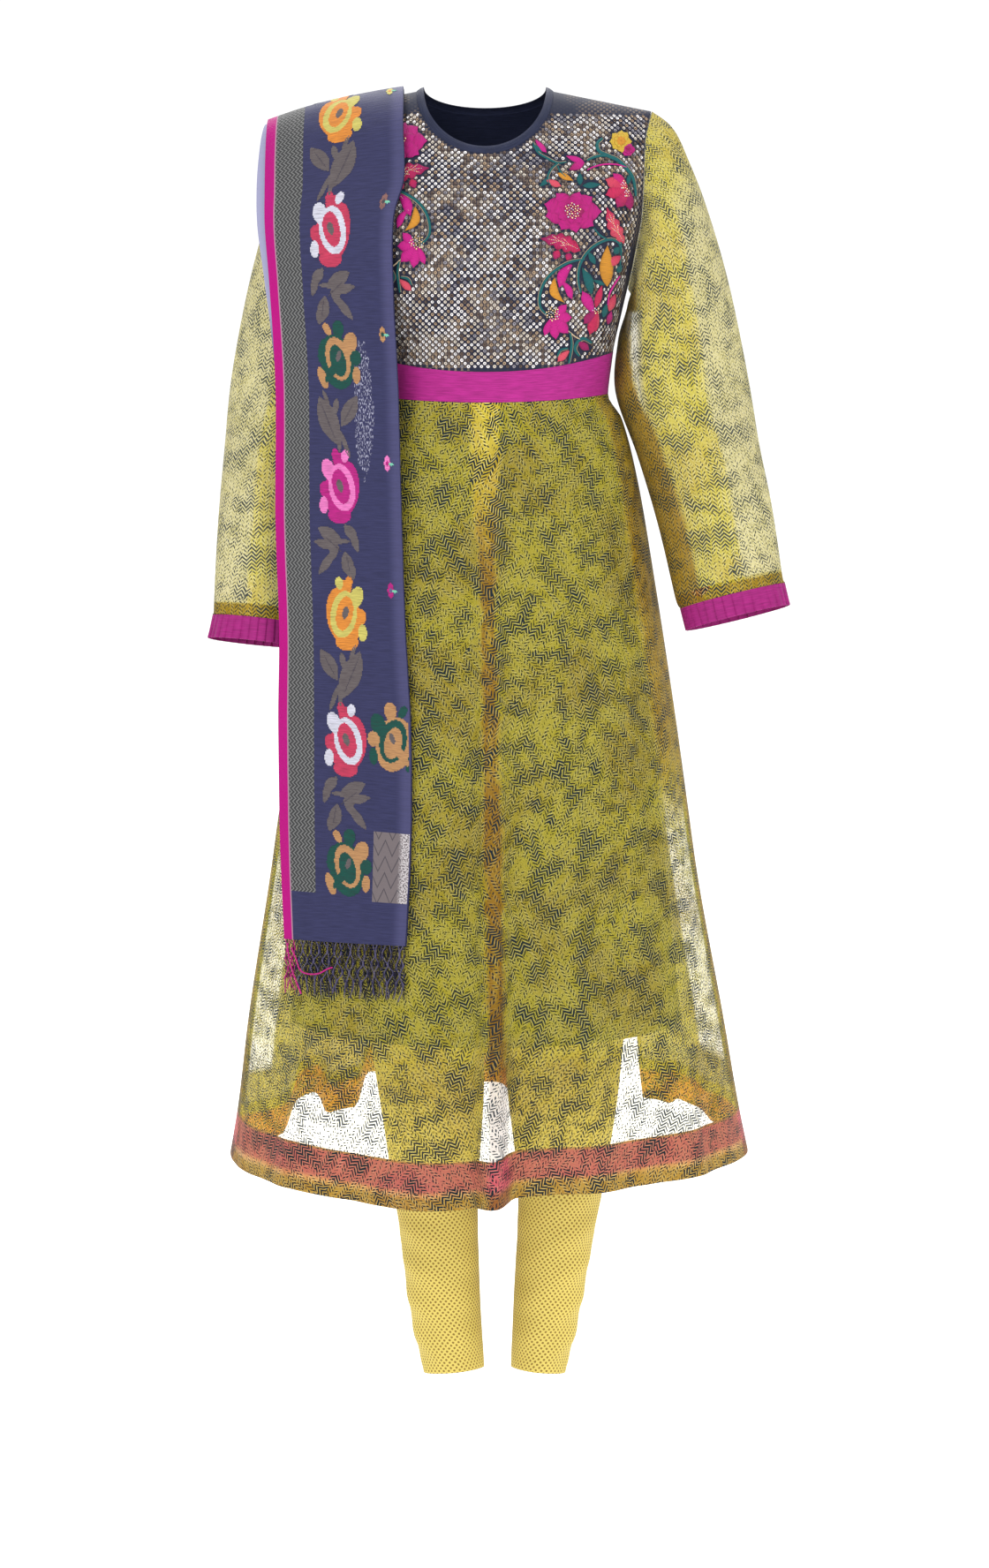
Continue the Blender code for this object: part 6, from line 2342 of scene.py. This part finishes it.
@dataclass
class Trousers:
    """Two one-piece legs and their waistband."""

    rows: int = 170
    sides: int = 72
    top_z: float = -0.42
    foot_z: float = -1.386
    crotch: tuple[float, float] = (-0.630, -0.745)
    ankle: tuple[float, float, float] = (0.0065, 0.0100, 0.0040)   # slant, rise, drop
    inseam_share: float = 0.0006
    band_height: float = 0.028
    band_sides: int = 96
    slant_from: float = 0.90         # below the waist, where the ankle's slant begins
    wrinkled_z: float = -1.12        # the ankle's wrinkles begin
    leg_flat: Flat = (0.50, 0.97)
    leg_area: float = 0.384
    band_flat: Flat = (0.66, 0.028)

    def leg_cloth(self, label: str) -> Cloth:
        """One leg, spread to centre front and back above the crotch.

        Args:
            label: left or right.

        Returns:
            The cloth.
        """
        side = 1 if label == "left" else -1
        table = LEGS[label]
        share = np.linspace(self.inseam_share, 1 - self.inseam_share, self.sides)[None]
        turn = 2 * np.pi * share
        level = np.linspace(self.top_z, self.foot_z, self.rows)[:, None]
        slant, rise, drop = self.ankle
        near = ease((self.top_z - level - self.slant_from)
                    / (self.top_z - self.foot_z - self.slant_from))
        z = level + near * (-slant * (0.5 - 0.5 * np.cos(turn))
                            + np.where(share < 0.5, rise, drop) * np.sin(turn))
        inner, outer = table.read("inner_x", z), table.read("outer_x", z)
        tube = np.stack([(inner + outer) / 2 - (outer - inner) / 2 * np.cos(turn),
                         table.read("middle_y", z) - table.read("half_depth", z) * np.sin(turn),
                         z], -1)
        depth = np.where(share < 0.5, HIPS.read("front", z), HIPS.read("back", z))
        spread = np.stack([HIPS.read("half_width", z) * np.sin(turn / 2),
                           -depth * np.cos(turn / 2), z], -1)
        closing = ease((self.crotch[0] - z) / (self.crotch[0] - self.crotch[1]))[..., None]
        cloth = Cloth((spread * (1 - closing) + tube * closing) * (side, 1, 1))
        ankle_near = ease((self.wrinkled_z - z) / 0.12)
        wave = (np.sin(2 * turn + 90 * z + 0.7) * np.sin(60 * z + 2.0 * np.cos(turn))
                + 0.6 * np.sin(3 * turn - 140 * z))
        fade = np.sin(np.pi * share) ** 0.5 * ankle_near * ease((z + 1.388) / 0.02)
        return cloth.moved(0.0017 * wave * fade + 0.0004 * fade)

    def waistband_cloth(self) -> Cloth:
        """The band round the top.

        Returns:
            The cloth.
        """
        turn = circle(self.band_sides)[None]
        first = HIPS.rows[0]
        depth = np.where(np.cos(turn) > 0, first[2], first[3])
        z = np.linspace(self.top_z + SEAM + self.band_height, self.top_z + SEAM, 9)[:, None]
        ring = np.stack(np.broadcast_arrays(first[1] * np.sin(turn), -depth * np.cos(turn), z), -1)
        gather = 0.0006 * np.sin(48 * turn) * np.sin(np.pi * (z - z[-1]) / self.band_height)
        return Cloth(ring, True).moved(gather)

    def build(self) -> None:
        """Make the legs and the waistband."""
        for label in ("left", "right"):
            leg = put(self.leg_cloth(label).mesh(f"trouser_leg_{label}_cotton", SHELL),
                      SUIT.cotton, "dotted_cotton", f"trouser_leg_{label}")
        band = put(self.waistband_cloth().mesh("trouser_waistband_cotton", SHELL), SUIT.cotton,
                   "dotted_cotton", "trouser_waistband")


# ================================================================ scarf
@dataclass
class Scarf:
    """The scarf, folded lengthwise into layers and laid over the right shoulder."""

    layers: int = 5
    pitch: float = 0.0014
    fold: float = 0.0006
    bow: float = 0.0040
    slip: float = 0.0100
    slip_from: float = 0.270
    slip_to: float = 0.520
    slip_sag: float = 0.062
    rows: int = 300
    across: int = 24         # columns in each layer
    width: float = 0.141     # of one layer
    cell: float = 0.0011     # step of the woven motifs
    rise: float = 0.00025    # how far the motifs' threads stand off the silk
    first_rose: float = 0.080
    repeat: float = 0.131
    motif_reach: float = 0.045       # half the width and length of the largest motif
    motif_run: int = 9               # longest thread of a motif, in cells
    border: float = 0.0405           # motifs keep clear of it
    flat: Flat = (0.705, 1.927)
    strands: int = 30                # of a fringe, in each of its layers
    knots: int = 4
    first_knot: float = 0.0105       # below the scarf's end
    knot_step: float = 0.0098
    longest: float = 0.0585
    painted_strand_shade: tuple[float, ...] = (0.85, 0.45, 0.30, 0.20)  # painted shade: darker from the top layer down, for the strands behind
    strand_radii: tuple[float, ...] = (0.00056, 0.00034, 0.00034, 0.00034)
    knot_swell: float = 0.00046

    def __post_init__(self) -> None:
        """Measure the length of the laid scarf."""
        table = np.array(SCARF.rows)
        self.edges = table[:, :3], table[:, 3:]
        self.inner_lengths = arc_lengths(table[:, :3], 0)
        self.shares = np.linspace(0.0, 1.0, 601)
        inner, outer = self.station(self.shares)
        self.lengths = arc_lengths((inner + outer) / 2, 0)

    def station(self, share: Array) -> tuple[Array, Array]:
        """Inner and outer edge of the folded scarf at shares of its length.

        Args:
            share: shares of its length.

        Returns:
            The inner and the outer edge.
        """
        whole = self.inner_lengths[-1]
        at = np.interp(share * whole, self.inner_lengths, np.arange(len(self.inner_lengths)))
        return through(self.edges[0], at), through(self.edges[1], at)

    def frame(self, share: Array) -> tuple[Array, Array, Array, Array]:
        """Edges of each station, the way its outer face looks, and the way along.

        Args:
            share: shares of the length.

        Returns:
            The inner edge, the outer edge and the two ways.
        """
        inner, outer = self.station(share)
        ahead = sum(self.station(np.minimum(share + 0.004, 1.0)))
        behind = sum(self.station(np.maximum(share - 0.004, 0.0)))
        along = unit(ahead - behind)
        return inner, outer, unit(np.cross(inner - outer, along)), along

    def lay(self, share: Array, place: Array, depth: Array | float,
            overhang: Array | float = 0.0) -> Array:
        """Points of the folded scarf.

        Args:
            share: shares of the length.
            place: places across, 0 at the outer edge and 1 at the inner one.
            depth: height over the outermost layer.
            overhang: how far each point lies past its place.

        Returns:
            The points, in the shape of all of these together.
        """
        share, place, depth, overhang = np.broadcast_arrays(share, place, depth, overhang)
        inner, outer, facing, _ = self.frame(share.ravel())
        inner, outer, facing = (a.reshape(*share.shape, 3) for a in (inner, outer, facing))
        wrinkle = 0.0004 * np.sin(share * 61) * np.sin(place * 9 + share * 17)
        wrinkle = wrinkle + 0.0003 * np.sin(share * 230 + 5 * place) * np.sin(place * 4)
        lift = self.bow * np.sin(np.pi * place) + depth + wrinkle
        return (outer + (inner - outer) * place[..., None]
                + unit(inner - outer) * overhang[..., None] + facing * lift[..., None])

    def cloth(self) -> Cloth:
        """All the layers as one sheet that runs to and fro.

        Returns:
            The cloth.
        """
        share = np.linspace(0.0, 1.0, self.rows)[:, None]
        travel = (share - self.slip_from) / (self.slip_to - self.slip_from)
        slip = self.slip * np.sin(np.pi * np.clip(travel, 0.0, 1.0)) ** 2
        blank = np.zeros((self.rows, 1))
        places, depths, hangs, flats = [], [], [], []
        for layer in range(self.layers):
            steps = np.linspace(0.0, 1.0, self.across)[None]
            run = steps if layer % 2 == 0 else 1 - steps
            out = (slip if layer >= self.layers - 2 else blank) * (1 - ease(run / 0.5))
            places.append(run + blank)
            depths.append(-layer * self.pitch - self.slip_sag * out)
            hangs.append(-out)
            flats.append(self.width * (layer + steps))
            if layer < self.layers - 1:
                turn = np.linspace(0.0, np.pi, 5)[None, 1:-1]
                end = run[0, -1]
                out = slip if layer >= self.layers - 3 and end == 0 else blank
                places.append(np.full((self.rows, 3), end))
                depths.append(-self.pitch * (layer + (1 - np.cos(turn)) / 2) - self.slip_sag * out)
                hangs.append(self.fold * np.sin(turn) * (2 * end - 1) - out)
                flats.append(np.full((1, 3), self.width * (layer + 1)))
        place, depth, hang = (np.concatenate(a, axis=1) for a in (places, depths, hangs))
        up = np.interp(share, self.shares, self.lengths)
        flat = np.stack(np.broadcast_arrays(np.concatenate(flats, axis=1), up), -1)
        return Cloth(self.lay(share, place, depth, hang), place=flat)

    def weave(self, bits: Bits, motif: str, centre: tuple[float, float], yarns: dict[str, str],
              flip: bool = False, size: float = 1.0) -> None:
        """Weave one motif in stepped cells.

        Args:
            bits: where its threads go.
            motif: its table.
            centre: its place across and along, in metres.
            yarns: the yarns that its letters stand for.
            flip: whether it is mirrored.
            size: its scale.
        """
        step = self.cell
        count = int(self.motif_reach * size / step) + 1
        grid = np.arange(-count, count + 1) * step
        x, y = np.meshgrid(grid, grid)
        index = np.full(x.shape, -1)
        names = []
        for mx, my, reach, half, turn, yarn, pointed in rows_of(motif):
            lean = math.radians(-turn if flip else turn)
            dx, dy = x - (-mx if flip else mx) * size / 1000, y - my * size / 1000
            along = (dy * math.cos(lean) - dx * math.sin(lean)) / (reach * size / 1000)
            aside = (dx * math.cos(lean) + dy * math.sin(lean)) / (half * size / 1000)
            edge = 1 - along ** 2
            inside = np.abs(aside) < (edge if pointed else np.sqrt(np.maximum(edge, 0)))
            names.append(yarns.get(yarn, yarn))
            index[inside & (np.abs(along) < 1)] = len(names) - 1
        u = grid + centre[0]
        index[:, (u < self.border) | (u > self.width - 0.0005)] = -1
        starts, ends, lines, picks = [], [], [], []
        for row, line in enumerate(index):
            cut = np.flatnonzero(np.diff(line) != 0) + 1
            for a, b in zip(np.concatenate([[0], cut]), np.concatenate([cut, [len(line)]])):
                if line[a] >= 0:
                    for first in range(a, b, self.motif_run):
                        starts.append(u[first] - step / 2)
                        ends.append(u[min(first + self.motif_run, b) - 1] + step / 2)
                        lines.append(grid[row] + centre[1])
                        picks.append(line[a])
        if not starts:
            return
        starts, ends, lines = (np.array(a) for a in (starts, ends, lines))
        corner_u = np.stack([starts, ends, ends, starts], -1)
        corner_v = np.stack([lines - step / 2] * 2 + [lines + step / 2] * 2, -1)
        share = np.interp(corner_v, self.lengths, self.shares)
        points = self.lay(share, corner_u / self.width, self.rise)
        faces = np.arange(points.shape[0] * 4).reshape(-1, 4)
        shade = np.array([YARN[names[k]] for k in picks])
        shade = shade * (0.93 + 0.14 * np.random.default_rng(3).random((len(shade), 1)))
        bits.add(points, faces, np.repeat(shade, 4, axis=0), np.stack([corner_v, corner_u], -1))

    def motifs(self) -> Bits:
        """Roses, sprays and buds up the whole length.

        Returns:
            Their threads.
        """
        bits = Bits()
        roses = ((SWIRL, {"A": "green", "B": "tan"}), (ROSE, {"A": "red", "B": "white"}),
                 (ROSE, {"A": "orange", "B": "straw"}), (ROSE, {"A": "rose", "B": "pink"}))
        buds = (("brown", "vein"), ("straw", "orange"), ("rose", "lilac"), ("pink", "rose"),
                ("tan", "green"))
        count = int((self.lengths[-1] - 2 * self.first_rose) / self.repeat)
        for k in range(count + 1):
            v = self.first_rose + self.repeat * k
            chart, yarns = roses[k % 4]
            self.weave(bits, (BROAD_SPRAY, TORN_SPRAY)[k % 2 == 0],
                       (0.072, v + 0.0655), {}, flip=k % 4 > 1, size=0.92)
            self.weave(bits, chart, (0.076, v), yarns, flip=k % 4 == 2, size=0.98)
            if k >= 2:
                first, second = buds[k % 5]
                self.weave(bits, BUD, (0.128, v + 0.025), {"A": first, "B": second}, size=0.62)
        self.weave(bits, SWIRL, (0.124, self.first_rose + self.repeat + 0.003),
                   {"A": "tan", "B": "green"}, flip=True, size=0.98)
        return bits

    def fringe(self, share: float) -> Bits:
        """A knotted net of strands at one end, with loose tails.

        Args:
            share: 0 for the front end, 1 for the back one.

        Returns:
            Its strands.
        """
        bits = Bits()
        inner, outer, facing, along = (a[0] for a in self.frame(np.array([share])))
        down = along if share > 0.5 else -along
        across, reach = unit(inner - outer), float(np.linalg.norm(inner - outer))
        rng = np.random.default_rng(11 + int(share))
        count, knots = self.strands, self.knots
        spacing = (reach - 0.004) / (count - 1)

        def spot(place: Array, depth: Array, drop: Array) -> Array:
            """Points beyond the scarf's end: across it, off its face and down.

            Args:
                place: distance across from the outer edge.
                depth: distance off the face.
                drop: distance down.

            Returns:
                The points.
            """
            bow = self.bow * np.sin(np.pi * np.clip(place / reach, 0, 1))
            return (outer + across * np.asarray(place)[..., None]
                    + facing * (bow + depth)[..., None] + down * np.asarray(drop)[..., None])

        shared_wander = rng.normal(0, 0.0009, (knots, count + 2))
        for layer in range(len(self.strand_radii)):
            depth = -0.0016 * layer + 0.0004
            wander = shared_wander + rng.normal(0, 0.0005, (knots, count + 2))
            sag = rng.normal(0, 0.0006, (knots, count + 2))
            for k in range(count):
                places, drops = [0.002 + spacing * k], [0.0004]
                for row in range(knots):
                    mate = (k + (layer + row) % 2) // 2 * 2 - (layer + row) % 2
                    middle = 0.002 + spacing * (mate + 0.5)
                    slot = max(mate, 0)
                    places.append(np.clip(middle + wander[row, slot], 0.0012, reach - 0.0012))
                    drops.append(self.first_knot + self.knot_step * row + sag[row, slot])
                end = places[-1] + rng.normal(0, 0.0035)
                places += [np.clip((places[-1] + end) / 2 + rng.normal(0, 0.001), 0, reach),
                           np.clip(end, 0.0, reach)]
                last = min(drops[-1] + rng.uniform(0.010, 0.019), self.longest)
                drops += [(drops[-1] + last) / 2, last]
                steps = np.linspace(0, len(places) - 1, (len(places) - 1) * 4 + 1)
                knot = np.stack([np.array(places), np.array(drops)], -1)
                line = through(knot, steps)
                swing = depth + 0.0005 * np.sin(steps * 2 * np.pi + k * 1.9)
                edge = k * spacing < 0.012 and share < 0.5
                pale = (k + layer) % (5 if layer else 3) == 0
                name = "magenta" if edge else "lilac" if pale != (layer == 0) else "navy"
                knotted = (steps > 0.6) * (steps < knots + 0.4)
                near = np.exp(-((steps + 0.5) % 1.0 - 0.5) ** 2 / 0.012) * knotted
                shade = np.array(YARN[name]) * self.painted_strand_shade[layer]
                radius = self.strand_radii[layer] + self.knot_swell * near
                bits.tube(spot(line[:, 0], swing, line[:, 1]), radius, shade, sides=4)
        if share < 0.5:
            loop = np.array([(0.010, 0.008), (0.016, 0.020), (0.021, 0.031), (0.030, 0.0345),
                             (0.043, 0.0335), (0.054, 0.028), (0.060, 0.026)])
            tail = np.array([(0.005, 0.004), (0.007, 0.018), (0.012, 0.034), (0.018, 0.047),
                             (0.0225, 0.0560)])
            for bends in (loop, tail):
                line = through(bends, np.linspace(0, len(bends) - 1, 31))
                bits.tube(spot(line[:, 0], np.full(31, 0.0022), line[:, 1]), 0.0008,
                          YARN["magenta"])
        return bits

    def build(self) -> None:
        """Make the scarf, its motifs and its fringes."""
        scarf = put(self.cloth().mesh("scarf_silk_cloth", 0.0), SUIT.scarf, "scarf_silk", "scarf")
        put(self.motifs().mesh("scarf_motifs"), SUIT.motif, None)
        for label, share in (("front", 0.0), ("back", 1.0)):
            put(self.fringe(share).mesh(f"fringe_{label}_strands"), SUIT.yarn, "fringe_yarn",
                f"fringe_{label}")


# ================================================================ the room
@dataclass
class Studio:
    """Floor, lights and camera."""

    floor_z: float = -1.530
    floor_size: float = 40.0
    camera_at: Spot = (0.010, -3.4, -0.234)
    camera_drop: float = 8.35        # degrees below the horizon
    lens: float = 3602 / 1776 * 36   # focal length in pixels / frame height x sensor, in mm
    sky: float = 0.95        # how strongly the white room lights the suit
    sky_seen: float = 1.08   # and how bright it looks

    def light(self, name: str, at: Spot, aim: Spot, size: float, watts: float) -> None:
        """A square soft light.

        Args:
            name: its name.
            at: where it stands.
            aim: what it points at.
            size: length of its side.
            watts: its power.
        """
        lamp = bpy.data.lights.new(name, "AREA")
        lamp.size, lamp.energy = size, watts
        holder = bpy.data.objects.new(name, lamp)
        holder.location = at
        holder.rotation_euler = (Vector(aim) - Vector(at)).to_track_quat("-Z", "Y").to_euler()
        bpy.context.scene.collection.objects.link(holder)

    def build(self) -> None:
        """Make the room."""
        half = self.floor_size / 2
        corners = np.array([(-half, -half, self.floor_z), (half, -half, self.floor_z),
                            (half, half, self.floor_z), (-half, half, self.floor_z)])
        mesh = quad_mesh("floor", corners, np.array([[0, 1, 2, 3]]))
        mesh.materials.append(SUIT.floor.material())
        floor = bpy.data.objects.new("floor", mesh)
        bpy.context.scene.collection.objects.link(floor)
        self.light("key", (-1.6, -2.6, 1.7), (0, 0, -0.5), 1.6, 55)
        self.light("fill", (2.2, -2.2, 0.6), (0, 0, -0.7), 1.8, 30)
        self.light("backdrop", (0.0, 2.2, 2.4), (0, 1.6, -1.5), 2.5, 120)
        world = bpy.data.worlds.new("studio")
        world.use_nodes = True
        sky = world.node_tree.nodes["Background"]
        sky.inputs["Color"].default_value = (1.0, 1.0, 1.0, 1.0)
        graph = Graph(world.node_tree)
        seen = Value(graph, graph.add("LightPath").outputs["Is Camera Ray"])
        graph.feed(sky.inputs["Strength"], seen * (self.sky_seen - self.sky) + self.sky)
        scene = bpy.context.scene
        scene.world = world
        scene.view_settings.view_transform = "Standard"
        camera = bpy.data.objects.new("camera", bpy.data.cameras.new("camera"))
        camera.location = self.camera_at
        camera.rotation_euler = Euler((math.radians(90 - self.camera_drop), 0, 0))
        camera.data.lens = self.lens
        scene.collection.objects.link(camera)
        scene.camera = camera


def main() -> None:
    """Build the suit in order."""
    logging.basicConfig(level=logging.INFO, format="%(name)s %(message)s")
    Studio().build()
    Kameez().build()
    Skirt().build()
    Sleeves().build()
    Trousers().build()
    Scarf().build()
    worked = Embroidery().build()
    Sequins(Unrolled()).build(worked)


if __name__ == "__main__":
    main()
